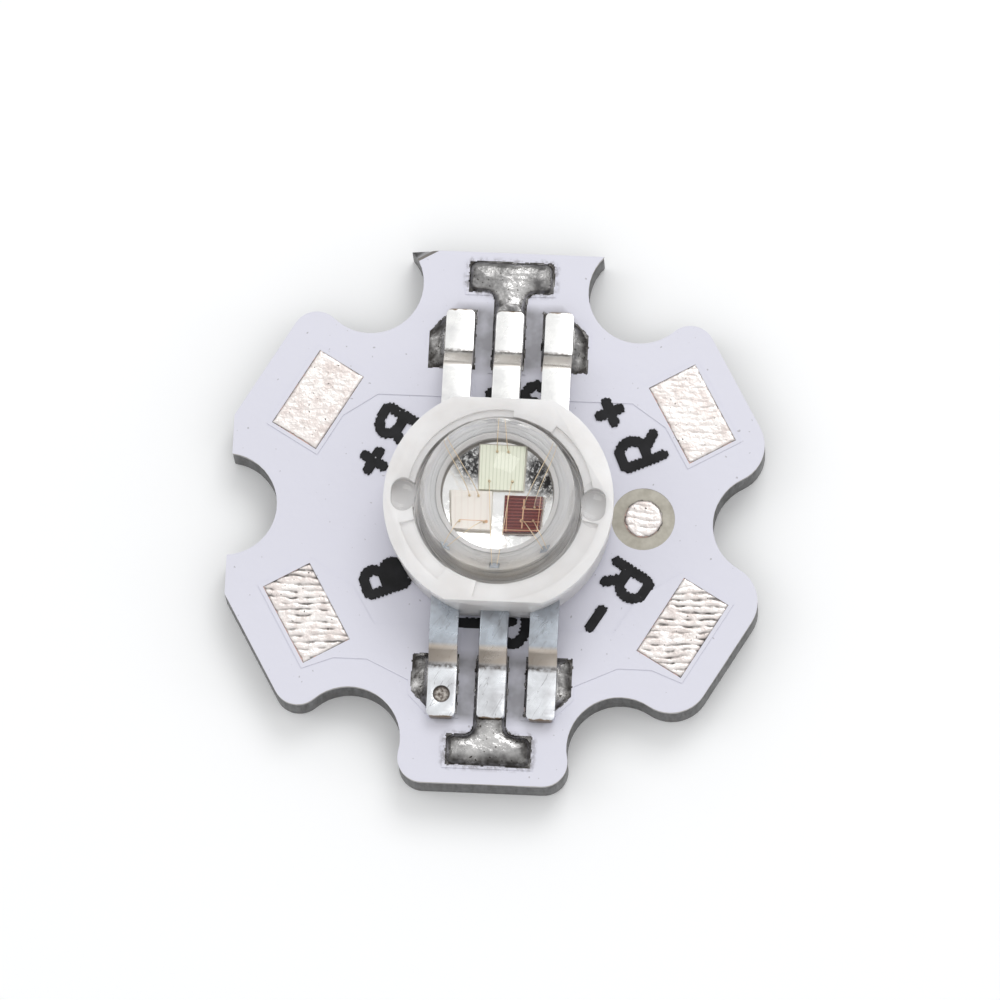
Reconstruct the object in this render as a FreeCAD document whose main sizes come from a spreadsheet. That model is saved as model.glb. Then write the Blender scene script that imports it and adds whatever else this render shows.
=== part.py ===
import FreeCAD, Part
import os
import re

import Sketcher

"""A three-colour power emitter soldered to a star-shaped aluminium board.

Lengths are in millimetres and angles in degrees.  +Z points up through the lens, +Y to the
row of plus leads.  The origin is the middle of the punched star, on its flat underside.
Three local frames are used, each a plain shift of that one:
  the copper artwork, printed a little off the middle of the punched outline;
  the emitter, soldered a little off the middle of the artwork, its zero at the slug's underside;
  a lead, whose +Y points outwards from the emitter.
"""

SIZES = {
    # the punched star: a hexagon with a screw notch at each corner
    "board_across_flats": 20.0,
    "base_thickness": 1.5,
    "notch_radius": 1.9,
    "notch_from_corner": 1.747,
    "west_shear_depth": 1.927,
    "north_shear_depth": 0.21,
    "corner_soft": 1.4,
    "corner_middle": 0.9,
    "nick_from_corner": 1.9,
    "nick_bearing": 120.0,
    "nick_slope": 34.0,
    "nick_block": 4.0,
    # the layers on top of the aluminium
    "dielectric_thickness": 0.08,
    "copper_thickness": 0.035,
    "mask_thickness": 0.02,
    "tin_thickness": 0.03,
    "copper_margin": 0.12,
    # the copper artwork
    "artwork_shift_right": 0.18,
    "artwork_shift_up": 0.04,
    "pad_from_edge": 2.12,
    "pad_bearing": 30.34,
    "pad_turn": 30.0,
    "pad_radial": 1.9,
    "pad_tangent": 3.2,
    "land_inner": 1.25,
    "land_outer": 2.85,
    "land_near": 5.35,
    "land_toe": 0.09,
    "land_bevel": 0.8,
    "track_near": 4.3,
    "north_elbow": 4.63,
    "north_shoulder_right": 4.1,
    "north_shoulder_up": 5.64,
    "north_leave": 6.1,
    "south_elbow": 4.35,
    "south_elbow_near": 5.17,
    "south_elbow_up": 2.95,
    "south_shoulder_near": 4.53,
    "south_shoulder_far": 5.75,
    "south_shoulder_up": 5.57,
    "south_leave": 6.3,
    "stem_half_width": 0.55,
    "bar_half_length": 1.5,
    "bar_near_share": 0.312,
    "bar_far_share": 0.736,
    "fiducial_centre": 5.2,
    "fiducial_radius": 0.68,
    "fiducial_window": 1.15,
    "heat_pad_margin": 0.2,
    "heat_pad_gap": 0.1,
    # the emitter on the board
    "emitter_shift_right": 0.23,
    "emitter_shift_down": 0.09,
    "compound_thickness": 0.085,
    "compound_squeeze": 0.05,
    # the heat slug with its mirror cup
    "slug_flange_radius": 2.95,
    "slug_flange_height": 0.4,
    "slug_post_radius": 1.6,
    "slug_height": 3.02,
    "cup_radius": 1.46,
    "cup_depth": 0.25,
    # the leads
    "lead_pitch": 1.8,
    "lead_width": 1.03,
    "lead_thickness": 0.4,
    "lead_level": 0.62,
    "lead_drop": 0.6,
    "lead_slope_run": 0.62,
    "plus_bend_start": 5.32,
    "minus_bend_start": 5.03,
    "lead_half_span": 7.59,
    "lead_inner_end_middle": 1.9,
    "lead_inner_end_side": 1.45,
    "lead_bend_radius": 0.45,
    "lead_corner_radius": 0.22,
    "post_width": 0.3,
    "post_stand": 0.02,
    "middle_post_out": 2.15,
    "side_post_in": 0.3,
    "side_post_out": 1.58,
    "dimple_radius": 0.3,
    "dimple_depth": 0.12,
    "dimple_from_end": 0.84,
    # the moulded housing
    "housing_radius": 4.15,
    "housing_wall_radius": 4.0,
    "housing_flat": 3.76,
    "housing_stand": 0.1,
    "housing_height": 2.6,
    "housing_rim_height": 0.5,
    "recess_floor": 2.0,
    "recess_radius": 3.1,
    "boss_radius": 2.4,
    "ledge_depth": 0.12,
    "upper_left_ledge_radius": 3.33,
    "upper_right_ledge_radius": 3.42,
    "lower_left_ledge_radius": 3.66,
    "lower_right_ledge_radius": 3.72,
    # the lens
    "lens_radius": 2.8,
    "lens_wall": 0.3,
    "lens_centre_height": 3.15,
    "lens_hollow_rise": 0.6,
    "lens_hollow_top_radius": 1.3,
    "lens_flange_radius": 3.05,
    "lens_flange_height": 0.2,
    "port_turn": 179.0,
    "port_out": 3.44,
    "port_half_length": 0.62,
    "port_half_width": 0.43,
    "port_stand": 0.05,
    "channel_width": 0.7,
    "channel_height": 0.35,
    # the three chips and their wires
    "attach_thickness": 0.02,
    "chip_thickness": 0.12,
    "attach_margin": 0.02,
    "green_chip_width": 1.07,
    "green_chip_right": 0.06,
    "green_chip_up": 0.74,
    "blue_chip_width": 1.0,
    "blue_chip_right": -0.65,
    "blue_chip_up": -0.34,
    "red_chip_width": 0.95,
    "red_chip_right": 0.64,
    "red_chip_up": -0.4,
    "wire_thickness": 0.035,
    "wire_rise": 0.3,
    "wire_pair_spacing": 0.14,
    "bond_length": 0.07,
    # the solder
    "solder_height": 0.34,
    "solder_slope": 32.0,
}

# Arms of the star by the direction they face, each with the rounding of its right-hand and
# left-hand corner, seen from the middle.  None is a corner left as the shear cut it.
ARM_CORNERS = {
    30: ("corner_soft", "corner_middle"),
    90: (None, None),
    150: ("corner_middle", None),
    210: (None, "corner_middle"),
    270: ("corner_middle", "corner_middle"),
    330: ("corner_soft", "corner_soft"),
}

# Steps moulded into the top of the housing: first and last angle of each.
LEDGES = {
    "upper_left": (83.0, 170.0),
    "upper_right": (6.0, 55.0),
    "lower_left": (196.0, 236.0),
    "lower_right": (258.0, 348.0),
}

LEADS = {
    "blue_plus_lead": (-1, 1),
    "green_plus_lead": (0, 1),
    "red_plus_lead": (1, 1),
    "blue_minus_lead": (-1, -1),
    "green_minus_lead": (0, -1),
    "red_minus_lead": (1, -1),
}

# Where the level part of a bond wire's loop begins and ends, as shares of its run.
LOOP_SHARES = (0.12, 0.5)

# Pairs of bond wires: chip, where each of the two leaves the chip, as shares of its half
# width, and the lead that both run to.
WIRES = [
    ("green", ((-0.25, 0.72), (0.25, 0.72)), "green_plus_lead"),
    ("green", ((-0.55, -0.62), (0.5, -0.6)), "green_minus_lead"),
    ("blue", ((-0.1, 0.75), (0.35, 0.75)), "blue_plus_lead"),
    ("blue", ((-0.6, -0.6), (0.65, -0.6)), "blue_minus_lead"),
    ("red", ((0.05, 0.4), (0.6, 0.4)), "red_plus_lead"),
    ("red", ((0.0, -0.35), (0.6, -0.35)), "red_minus_lead"),
]

# Heights of the layers, as sheet formulas.
DIELECTRIC_TOP = "(base_thickness + dielectric_thickness)"
COPPER_TOP = "(base_thickness + dielectric_thickness + copper_thickness)"
EMITTER_BASE = "(base_thickness + dielectric_thickness + copper_thickness + compound_thickness)"
STACK_TOP = "(base_thickness + dielectric_thickness + copper_thickness + mask_thickness)"
CHIP_FLOOR = "(slug_height - cup_depth)"
CHIP_TOP = "(slug_height - cup_depth + attach_thickness + chip_thickness)"
POST_TOP = "(slug_height + post_stand)"

# Distances that follow the board's outline, the slug and the leads.
BOARD_CORNER = "(board_across_flats / 2 / cos(30))"
NOTCH_OUT = f"({BOARD_CORNER} - notch_from_corner)"
NICK_OUT = f"({BOARD_CORNER} - nick_from_corner)"
PAD_OUT = "(board_across_flats / 2 - pad_from_edge)"
LAND_FAR = "(lead_half_span - land_toe)"
# The bar of a middle land lies between the toes of the lands and the edge of the board.
BAR_NEAR = f"({LAND_FAR} + (board_across_flats / 2 - {LAND_FAR}) * bar_near_share)"
BAR_FAR = f"({LAND_FAR} + (board_across_flats / 2 - {LAND_FAR}) * bar_far_share)"
COMPOUND_RADIUS = "(slug_flange_radius + compound_squeeze)"
HEAT_PAD_RADIUS = "(slug_flange_radius + compound_squeeze + heat_pad_margin)"

ARTWORK = ("artwork_shift_right", "artwork_shift_up")
EMITTER = ("emitter_shift_right", "-emitter_shift_down")

WORD = re.compile(r"[a-z]+(?:_[a-z]+)*")
UP = FreeCAD.Vector(0, 0, 1)

doc = FreeCAD.newDocument("star_emitter")
sheet = doc.addObject("Spreadsheet::Sheet", "sizes")


def fill_sheet():
    """One row per driving size: its name, and its value under that name as alias."""
    for row, (name, size) in enumerate(SIZES.items(), start=1):
        sheet.set(f"A{row}", name)
        sheet.set(f"B{row}", str(size))
        sheet.setAlias(f"B{row}", name)
    doc.recompute()


def formula(text):
    """A formula in plain size names, with the sheet named in front of each size."""
    return WORD.sub(lambda found: f"sizes.{found[0]}" if found[0] in SIZES else found[0], str(text))


def value(text):
    """What a formula comes to now, as a plain number."""
    return float(sheet.evalExpression(str(text)))


def bind(item, name, text):
    item.setExpression(name, formula(text))


def place(item, shift, bottom="0"):
    """Puts an object at a shift in the plane and a height, both as formulas."""
    bind(item, "Placement.Base.x", shift[0])
    bind(item, "Placement.Base.y", shift[1])
    bind(item, "Placement.Base.z", bottom)


def outline(sketch, corners):
    """Draws a closed outline in a sketch; each corner is held by two formulas."""
    points = [FreeCAD.Vector(value(x), value(y), 0) for x, y in corners]
    count = len(points)
    first = sketch.GeometryCount
    for number, point in enumerate(points):
        sketch.addGeometry(Part.LineSegment(point, points[(number + 1) % count]))
    for number, corner in enumerate(corners):
        line = first + number
        following = first + (number + 1) % count
        sketch.addConstraint(Sketcher.Constraint("Coincident", line, 2, following, 1))
        hold_point(sketch, line, 1, corner)


def hold_point(sketch, piece, end, corner):
    """Holds one end of a piece of geometry at a corner given by two formulas."""
    for kind, text in zip(("DistanceX", "DistanceY"), corner):
        held = sketch.addConstraint(Sketcher.Constraint(kind, -1, 1, piece, end, value(text)))
        sketch.setExpression(f"Constraints[{held}]", formula(text))


def circle(sketch, centre, radius):
    """Draws a circle whose centre and radius are formulas."""
    middle = FreeCAD.Vector(value(centre[0]), value(centre[1]), 0)
    ring = sketch.addGeometry(Part.Circle(middle, UP, value(radius)))
    hold_point(sketch, ring, 3, centre)
    size = sketch.addConstraint(Sketcher.Constraint("Radius", ring, value(radius)))
    sketch.setExpression(f"Constraints[{size}]", formula(radius))


def raised(name, sketch, height, taper=None):
    """The solid over a sketch, straight or drawn in by a taper as it rises."""
    solid = doc.addObject("Part::Extrusion", name)
    solid.Base = sketch
    solid.DirMode = "Custom"
    solid.Dir = UP
    solid.Solid = True
    bind(solid, "LengthFwd", height)
    if taper:
        bind(solid, "TaperAngle", f"-({taper})")
    return solid


def plan_sketch(name, shift, bottom):
    sketch = doc.addObject("Sketcher::SketchObject", f"{name}_plan")
    place(sketch, shift, bottom)
    return sketch


def prism(name, corners, shift, bottom, height, taper=None):
    """A solid with a straight-sided plan."""
    sketch = plan_sketch(name, shift, bottom)
    outline(sketch, corners)
    return raised(name, sketch, height, taper)


def disc(name, centre, radius, shift, bottom, height):
    """A round solid with an upright axis."""
    solid = doc.addObject("Part::Cylinder", name)
    bind(solid, "Radius", radius)
    bind(solid, "Height", height)
    place(solid, (f"{shift[0]} + ({centre[0]})", f"{shift[1]} + ({centre[1]})"), bottom)
    return solid


def fused(name, pieces):
    solid = doc.addObject("Part::MultiFuse", name)
    solid.Shapes = pieces
    solid.Refine = True
    return solid


def cut(name, base, tool):
    solid = doc.addObject("Part::Cut", name)
    solid.Base = base
    solid.Tool = tool
    return solid


def group(name, pieces):
    """Several solids side by side as one object, for a cut or a shared node."""
    together = doc.addObject("Part::Compound", name)
    together.Links = pieces
    return together


def names_of_edges(shape, wanted):
    """The names of the edges that a test picks, such as Edge7."""
    return [f"Edge{number}" for number, edge in enumerate(shape.Edges, start=1) if wanted(edge)]


def upright(edge):
    """Whether an edge is straight and vertical."""
    low, high = edge.Vertexes[0].Point, edge.Vertexes[-1].Point
    return (high - low).cross(UP).Length < 1e-6 < edge.Length


def body_sketch(body, name, role, lift="0"):
    """A sketch on one of a body's own planes, lifted along the plane's normal."""
    planes = [plane for plane in body.Origin.OriginFeatures if plane.Role == role]
    sketch = body.newObject("Sketcher::SketchObject", name)
    sketch.AttachmentSupport = (planes[0], [""])
    sketch.MapMode = "FlatFace"
    bind(sketch, "AttachmentOffset.Base.z", lift)
    return sketch


def new_body(label, shift, bottom):
    body = doc.addObject("PartDesign::Body", label)
    place(body, shift, bottom)
    return body


def pad(body, name, sketch, length, symmetric=False):
    feature = body.newObject("PartDesign::Pad", name)
    feature.Profile = sketch
    bind(feature, "Length", length)
    if symmetric:
        feature.SideType = "Symmetric"
    doc.recompute()
    return feature


def pocket(body, name, sketch, depth, upwards=False):
    """A pocket cut down from its sketch, or up from it."""
    feature = body.newObject("PartDesign::Pocket", name)
    feature.Profile = sketch
    feature.Reversed = upwards
    bind(feature, "Length", depth)
    doc.recompute()
    return feature


def revolved(body, name, sketch):
    feature = body.newObject("PartDesign::Revolution", name)
    feature.Profile = sketch
    feature.ReferenceAxis = (sketch, ["V_Axis"])
    feature.Angle = 360
    doc.recompute()
    return feature


def rounded(body, name, base, edges, radius):
    feature = body.newObject("PartDesign::Fillet", name)
    feature.Base = (base, edges)
    bind(feature, "Radius", radius)
    doc.recompute()
    return feature


# The star board

def star_blank():
    """The punched star as one block, as high as all its layers together."""
    hexagon = doc.addObject("Part::Prism", "hexagon")
    hexagon.Polygon = 6
    bind(hexagon, "Circumradius", "board_across_flats / 2 / cos(30)")
    bind(hexagon, "Height", STACK_TOP)
    notches = []
    for number in range(6):
        turn = 60 * number
        centre = (f"{NOTCH_OUT} * cos({turn})", f"{NOTCH_OUT} * sin({turn})")
        notches.append(disc(f"notch_{number}", centre, "notch_radius", ("0", "0"), "0", STACK_TOP))
    half = "board_across_flats / 2"
    west = (f"west_shear_depth - {BOARD_CORNER} - board_across_flats", f"-{half}")
    north = (f"-{half}", f"{half} - north_shear_depth")
    shears = [shear_block("west_shear", west), shear_block("north_shear", north)]
    sheared = cut("sheared_star", hexagon, group("punches", notches + shears))
    doc.recompute()
    rounded_star = doc.addObject("Part::Fillet", "rounded_star")
    rounded_star.Base = sheared
    rounded_star.Edges = corner_roundings(sheared.Shape)
    blank = cut("star_blank", rounded_star, nick())
    doc.recompute()
    return blank


def shear_block(name, corner):
    """A block as wide as the board, which takes a strip off one edge."""
    block = doc.addObject("Part::Box", name)
    bind(block, "Length", "board_across_flats")
    bind(block, "Width", "board_across_flats")
    bind(block, "Height", STACK_TOP)
    place(block, corner)
    return block


def nick():
    """The block whose slanting underside chips the left corner off the north arm."""
    block = doc.addObject("Part::Box", "nick")
    for side in ("Length", "Width", "Height"):
        bind(block, side, "nick_block")
    bearing = FreeCAD.Rotation(UP, value("nick_bearing"))
    slope = FreeCAD.Rotation(FreeCAD.Vector(0, 1, 0), value("nick_slope"))
    block.Placement.Rotation = bearing.multiply(slope)
    place(block, (
        f"{NICK_OUT} * cos(nick_bearing) + nick_block * sin(nick_bearing)",
        f"{NICK_OUT} * sin(nick_bearing) - nick_block * cos(nick_bearing)",
    ), STACK_TOP)
    return block


def corner_roundings(shape):
    """Each arm corner's edge number with its radius, found by the arm's flat and side."""
    flat = value("board_across_flats / 2")
    roundings = []
    for number, edge in enumerate(shape.Edges, start=1):
        if not upright(edge):
            continue
        spot = edge.CenterOfMass
        for arm, corners in ARM_CORNERS.items():
            turned = FreeCAD.Rotation(UP, -arm).multVec(spot)
            name = corners[0] if turned.y < 0 else corners[1]
            if name and abs(turned.x - flat) < 1e-6:
                roundings.append((number, value(name), value(name)))
    return roundings


def layer(name, blank, bottom, thickness):
    """A slice of the star between two heights."""
    slab = doc.addObject("Part::Box", f"{name}_slab")
    bind(slab, "Length", "2 * board_across_flats")
    bind(slab, "Width", "2 * board_across_flats")
    bind(slab, "Height", thickness)
    place(slab, ("-board_across_flats", "-board_across_flats"), bottom)
    sliced = doc.addObject("Part::Common", name)
    sliced.Base = blank
    sliced.Tool = slab
    return sliced


# The copper artwork

def mirrored(corners, right, up):
    """Corners drawn for the upper right, turned over to another quarter of the board."""
    return [(f"{right} * ({x})", f"{up} * ({y})") for x, y in corners]


def pad_corner(radial, tangent, grow):
    """One corner of the upper right wire pad, grown by a margin all round."""
    out = f"{radial} * (pad_radial / 2 + {grow})"
    along = f"{tangent} * (pad_tangent / 2 + {grow})"
    return (
        f"{PAD_OUT} * cos(pad_bearing) + cos(pad_turn) * {out} - sin(pad_turn) * {along}",
        f"{PAD_OUT} * sin(pad_bearing) + sin(pad_turn) * {out} + cos(pad_turn) * {along}",
    )


def pad_corners():
    """The window of a wire pad in the mask."""
    return [pad_corner(1, -1, 0), pad_corner(1, 1, 0), pad_corner(-1, 1, 0), pad_corner(-1, -1, 0)]


def side_land_corners():
    """The solder land of an outer lead, with its far outer corner cut off."""
    return [
        ("land_inner", "land_near"),
        ("land_outer", "land_near"),
        ("land_outer", f"{LAND_FAR} - land_bevel"),
        ("land_outer - land_bevel", LAND_FAR),
        ("land_inner", LAND_FAR),
    ]


def side_track_corners(up):
    """Copper from an outer lead's land to the wire pad of its arm, as one broad shape.

    The plus and minus sides of the board differ where the copper meets the pad.
    """
    if up > 0:
        inner = [("north_elbow", "track_near"), pad_corner(-1, 0, "copper_margin")]
        outer = [
            pad_corner(-1, 1, "copper_margin"),
            ("north_shoulder_right", "north_shoulder_up"),
            ("land_outer + copper_margin", "north_leave"),
        ]
    else:
        inner = [("south_elbow", "track_near"), ("south_elbow_near", "south_elbow_up")]
        outer = [
            ("south_shoulder_far", "south_shoulder_up"),
            ("south_shoulder_near", "south_shoulder_up"),
            ("land_outer + copper_margin", "south_leave"),
        ]
    pad_end = [pad_corner(radial, tangent, "copper_margin")
               for radial, tangent in ((-1, -1), (1, -1), (1, 1))]
    return [("land_inner - copper_margin", "track_near")] + inner + pad_end + outer + [
        ("land_outer + copper_margin", f"{LAND_FAR} - land_bevel + copper_margin"),
        ("land_outer - land_bevel + copper_margin", f"{LAND_FAR} + copper_margin"),
        ("land_inner - copper_margin", f"{LAND_FAR} + copper_margin"),
    ]


def stem_corners(grow):
    """The T-shaped land of a middle lead: a stem under the foot and a bar for the wire."""
    half = f"(stem_half_width + {grow})"
    bar = f"(bar_half_length + {grow})"
    return [
        (f"-{half}", f"land_near - {grow}"),
        (half, f"land_near - {grow}"),
        (half, f"{BAR_NEAR} - {grow}"),
        (bar, f"{BAR_NEAR} - {grow}"),
        (bar, f"{BAR_FAR} + {grow}"),
        (f"-{bar}", f"{BAR_FAR} + {grow}"),
        (f"-{bar}", f"{BAR_NEAR} - {grow}"),
        (f"-{half}", f"{BAR_NEAR} - {grow}"),
    ]


def copper(name, corners):
    """A copper track, and the mask that rises over it."""
    track = prism(name, corners, ARTWORK, DIELECTRIC_TOP, "copper_thickness")
    spread = doc.addObject("Part::Offset2D", f"{name}_spread")
    spread.Source = track.Base
    spread.Join = "Intersection"
    bind(spread, "Value", "mask_thickness")
    cover = raised(f"{name}_cover", spread, "copper_thickness + mask_thickness")
    return track, cover


def artwork():
    """All tracks by name, with their covers, their windows in the mask and the solder lands."""
    tracks, covers, windows = {}, [], []
    for lead, (right, up) in LEADS.items():
        name = lead.replace("_lead", "_track")
        if right:
            land = mirrored(side_land_corners(), right, up)
            shape = mirrored(side_track_corners(up), right, up)
            pad_window = mirrored(pad_corners(), right, up)
            windows.append(window(f"{name}_pad_window", pad_window))
        else:
            land = mirrored(stem_corners("0"), 1, up)
            shape = mirrored(stem_corners("copper_margin"), 1, up)
        tracks[name], cover = copper(name, shape)
        covers.append(cover)
        windows.append(window(f"{name}_land_window", land))
    middle = ("0", "0")
    tracks["heat_pad"] = disc(
        "heat_pad", middle, HEAT_PAD_RADIUS, ARTWORK, DIELECTRIC_TOP, "copper_thickness")
    windows.append(disc(
        "heat_pad_window", middle, f"{HEAT_PAD_RADIUS} + heat_pad_gap", ARTWORK, DIELECTRIC_TOP,
        "1"))
    spot = ("fiducial_centre", "0")
    tracks["fiducial_dot"] = disc(
        "fiducial_dot", spot, "fiducial_radius", ARTWORK, DIELECTRIC_TOP, "copper_thickness")
    windows.append(disc("fiducial_gap", spot, "fiducial_window", ARTWORK, DIELECTRIC_TOP, "1"))
    return tracks, covers, windows


def window(name, corners):
    """A block that opens the mask over a land."""
    return prism(name, corners, ARTWORK, DIELECTRIC_TOP, "1")


def solder_mask(blank, tracks, covers, windows):
    """White lacquer over the board: it climbs over each track and leaves each land open."""
    sheet_of_mask = layer("mask_sheet", blank, DIELECTRIC_TOP, "mask_thickness")
    lacquer = fused("mask_with_covers", [sheet_of_mask] + covers)
    return cut("solder_mask", lacquer, group("mask_openings", list(tracks.values()) + windows))


def tin_coats():
    """Tinned faces of the four wire pads and of the fiducial dot."""
    coats = {}
    for lead, (right, up) in LEADS.items():
        if right:
            name = lead.replace("_lead", "_pad_tin")
            corners = mirrored(pad_corners(), right, up)
            coats[name] = prism(name, corners, ARTWORK, COPPER_TOP, "tin_thickness")
    coats["fiducial_tin"] = disc(
        "fiducial_tin", ("fiducial_centre", "0"), "fiducial_radius", ARTWORK, COPPER_TOP,
        "tin_thickness")
    return coats


# The emitter

def heat_slug():
    """A turned slug: wide flange below, post above it, mirror cup in its top."""
    body = new_body("heat_slug", EMITTER, EMITTER_BASE)
    sketch = body_sketch(body, "slug_section", "XZ_Plane")
    outline(sketch, [
        ("0", "0"),
        ("slug_flange_radius", "0"),
        ("slug_flange_radius", "slug_flange_height"),
        ("slug_post_radius", "slug_flange_height"),
        ("slug_post_radius", "slug_height"),
        ("cup_radius", "slug_height"),
        ("cup_radius", CHIP_FLOOR),
        ("0", CHIP_FLOOR),
    ])
    revolved(body, "slug_turning", sketch)
    return body


def lead(name, right, up):
    """A stamped lead: bond post, straight run through the housing, gull-wing bend and foot."""
    body = new_body(name, EMITTER, EMITTER_BASE)
    if up < 0:
        body.Placement.Rotation = FreeCAD.Rotation(UP, 180)
    across = f"{right * up} * lead_pitch"
    start = bend_start(up)
    inner = "lead_inner_end_side" if right else "lead_inner_end_middle"
    profile = body_sketch(body, f"{name}_profile", "YZ_Plane", across)
    mitre = "lead_thickness / 2 * tan(atan(lead_drop / lead_slope_run) / 2)"
    high, foot = "lead_level", "(lead_level - lead_drop)"
    outline(profile, [
        (inner, high),
        (f"{start} - {mitre}", high),
        (f"{start} + lead_slope_run - {mitre}", foot),
        ("lead_half_span", foot),
        ("lead_half_span", f"{foot} + lead_thickness"),
        (f"{start} + lead_slope_run + {mitre}", f"{foot} + lead_thickness"),
        (f"{start} + {mitre}", f"{high} + lead_thickness"),
        (inner, f"{high} + lead_thickness"),
    ])
    strip = pad(body, f"{name}_strip", profile, "lead_width", symmetric=True)
    bends = bend_edges(strip.Shape, start)
    strip = rounded(body, f"{name}_bends", strip, bends, "lead_bend_radius")
    toes = names_of_edges(strip.Shape, lambda edge: upright(edge) and far_out(edge))
    strip = rounded(body, f"{name}_toes", strip, toes, "lead_corner_radius")
    post = body_sketch(body, f"{name}_post_plan", "XY_Plane", f"{high} + lead_thickness")
    outline(post, post_corners(right, up))
    pad(body, f"{name}_post", post, f"{POST_TOP} - {high} - lead_thickness")
    if name == "blue_minus_lead":
        dimple = body_sketch(body, f"{name}_dimple_plan", "XY_Plane", f"{foot} + lead_thickness")
        circle(dimple, (across, "lead_half_span - dimple_from_end"), "dimple_radius")
        pocket(body, f"{name}_dimple", dimple, "dimple_depth")
    return body


def bend_start(up):
    """How far out a lead turns down: the two rows were formed a little apart."""
    return "plus_bend_start" if up > 0 else "minus_bend_start"


def post_centre(right, up):
    """Where a lead's bond post stands, in the lead's own frame."""
    if right:
        return (f"{right * up} * (lead_pitch - side_post_in)", "side_post_out")
    return ("0", "middle_post_out")


def post_corners(right, up):
    """The square section of a bond post."""
    x, y = post_centre(right, up)
    return [
        (f"{x} + {across} * post_width / 2", f"{y} + {along} * post_width / 2")
        for across, along in ((-1, -1), (1, -1), (1, 1), (-1, 1))
    ]


def bend_edges(shape, bend):
    """The outer edges of both bends: above where the lead turns down, below where it levels."""
    start, end = value(bend), value(f"{bend} + lead_slope_run")
    top = value("lead_level + lead_thickness")
    bottom = value("lead_level - lead_drop")

    def outer(edge):
        spot = edge.CenterOfMass
        across = abs(edge.Vertexes[0].Point.x - edge.Vertexes[-1].Point.x) > 1e-6
        turns_down = abs(spot.z - top) < 1e-6 and abs(spot.y - start) < value("lead_thickness")
        levels = abs(spot.z - bottom) < 1e-6 and abs(spot.y - end) < value("lead_thickness")
        return across and (turns_down or levels)

    return names_of_edges(shape, outer)


def far_out(edge):
    return abs(edge.CenterOfMass.y - value("lead_half_span")) < 1e-6


def above(height):
    """A height over the slug's underside as a height over the board's underside."""
    return f"{EMITTER_BASE} + {height}"


def turned_box(name, turn, out, size, bottom, height):
    """A box centred at a distance from the emitter's axis and turned to face it."""
    solid = doc.addObject("Part::Box", name)
    bind(solid, "Length", size[0])
    bind(solid, "Width", size[1])
    bind(solid, "Height", height)
    solid.Placement.Rotation = FreeCAD.Rotation(UP, value(turn))
    near, half = f"({out} - ({size[0]}) / 2)", f"({size[1]}) / 2"
    place(solid, (
        f"{EMITTER[0]} + {near} * cos({turn}) + {half} * sin({turn})",
        f"{EMITTER[1]} + {near} * sin({turn}) - {half} * cos({turn})",
    ), above(bottom))
    return solid


PORT_TURNS = {"left_port": "port_turn", "right_port": "(port_turn - 180)"}


def port_column(name, turn, height):
    """A filling port's column: a slot with round ends that lies across the radius."""
    reach = "(port_half_length - port_half_width)"
    ends = [
        disc(
            f"{name}_end_{side}",
            (f"port_out * cos({turn}) - {sign}{reach} * sin({turn})",
             f"port_out * sin({turn}) + {sign}{reach} * cos({turn})"),
            "port_half_width", EMITTER, above("recess_floor"), height)
        for side, sign in (("left", ""), ("right", "-"))
    ]
    size = ("2 * port_half_width", f"2 * {reach}")
    waist = turned_box(f"{name}_waist", turn, "port_out", size, "recess_floor", height)
    return fused(name, ends + [waist])


def housing(leads):
    """The moulded ring: flats, a recess for the lens, ledges and two ports, on a centre boss."""
    body = new_body("housing_moulding", EMITTER, EMITTER_BASE)
    sketch = body_sketch(body, "housing_section", "XZ_Plane")
    outline(sketch, [
        ("slug_flange_radius", "housing_stand"),
        ("housing_wall_radius", "housing_stand"),
        ("housing_wall_radius", "housing_height - housing_rim_height"),
        ("housing_radius", "housing_height - housing_rim_height"),
        ("housing_radius", "housing_height"),
        ("recess_radius", "housing_height"),
        ("recess_radius", "recess_floor"),
        ("boss_radius", "recess_floor"),
        ("boss_radius", "slug_height"),
        ("slug_post_radius", "slug_height"),
        ("slug_post_radius", "slug_flange_height"),
        ("slug_flange_radius", "slug_flange_height"),
    ])
    revolved(body, "housing_ring", sketch)
    for name, side in (("north", 1), ("south", -1)):
        flat = body_sketch(body, f"{name}_flat_plan", "XY_Plane", "housing_height")
        outline(flat, mirrored([
            ("-housing_radius", "housing_flat"),
            ("housing_radius", "housing_flat"),
            ("housing_radius", "housing_radius"),
            ("-housing_radius", "housing_radius"),
        ], 1, side))
        pocket(body, f"{name}_flat", flat, "housing_height")
    tools = [ledge(name, *span) for name, span in LEDGES.items()]
    for name, turn in PORT_TURNS.items():
        depth = "(housing_height - recess_floor)"
        tools.append(port_column(f"{name}_pocket", turn, depth))
    tools.extend(leads)
    return cut("housing", body, group("housing_hollows", tools))


def ledge(name, first, last):
    """A step in the housing's top: a flat sector of a disc, cut in by the ledge depth."""
    bottom = above("housing_height - ledge_depth")
    radius = f"{name}_ledge_radius"
    sector = disc(f"{name}_ledge", ("0", "0"), radius, EMITTER, bottom, "ledge_depth")
    sector.Angle = last - first
    sector.Placement.Rotation = FreeCAD.Rotation(UP, first)
    return sector


def dome():
    """The lens's outside: a round column from the recess floor, closed by a half ball."""
    wall = disc(
        "lens_wall", ("0", "0"), "lens_radius", EMITTER, above("recess_floor"),
        "(lens_centre_height - recess_floor)")
    ball = doc.addObject("Part::Sphere", "lens_ball")
    bind(ball, "Radius", "lens_radius")
    ball.Angle1 = 0
    place(ball, EMITTER, above("lens_centre_height"))
    return fused("lens_outside", [wall, ball])


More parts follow.
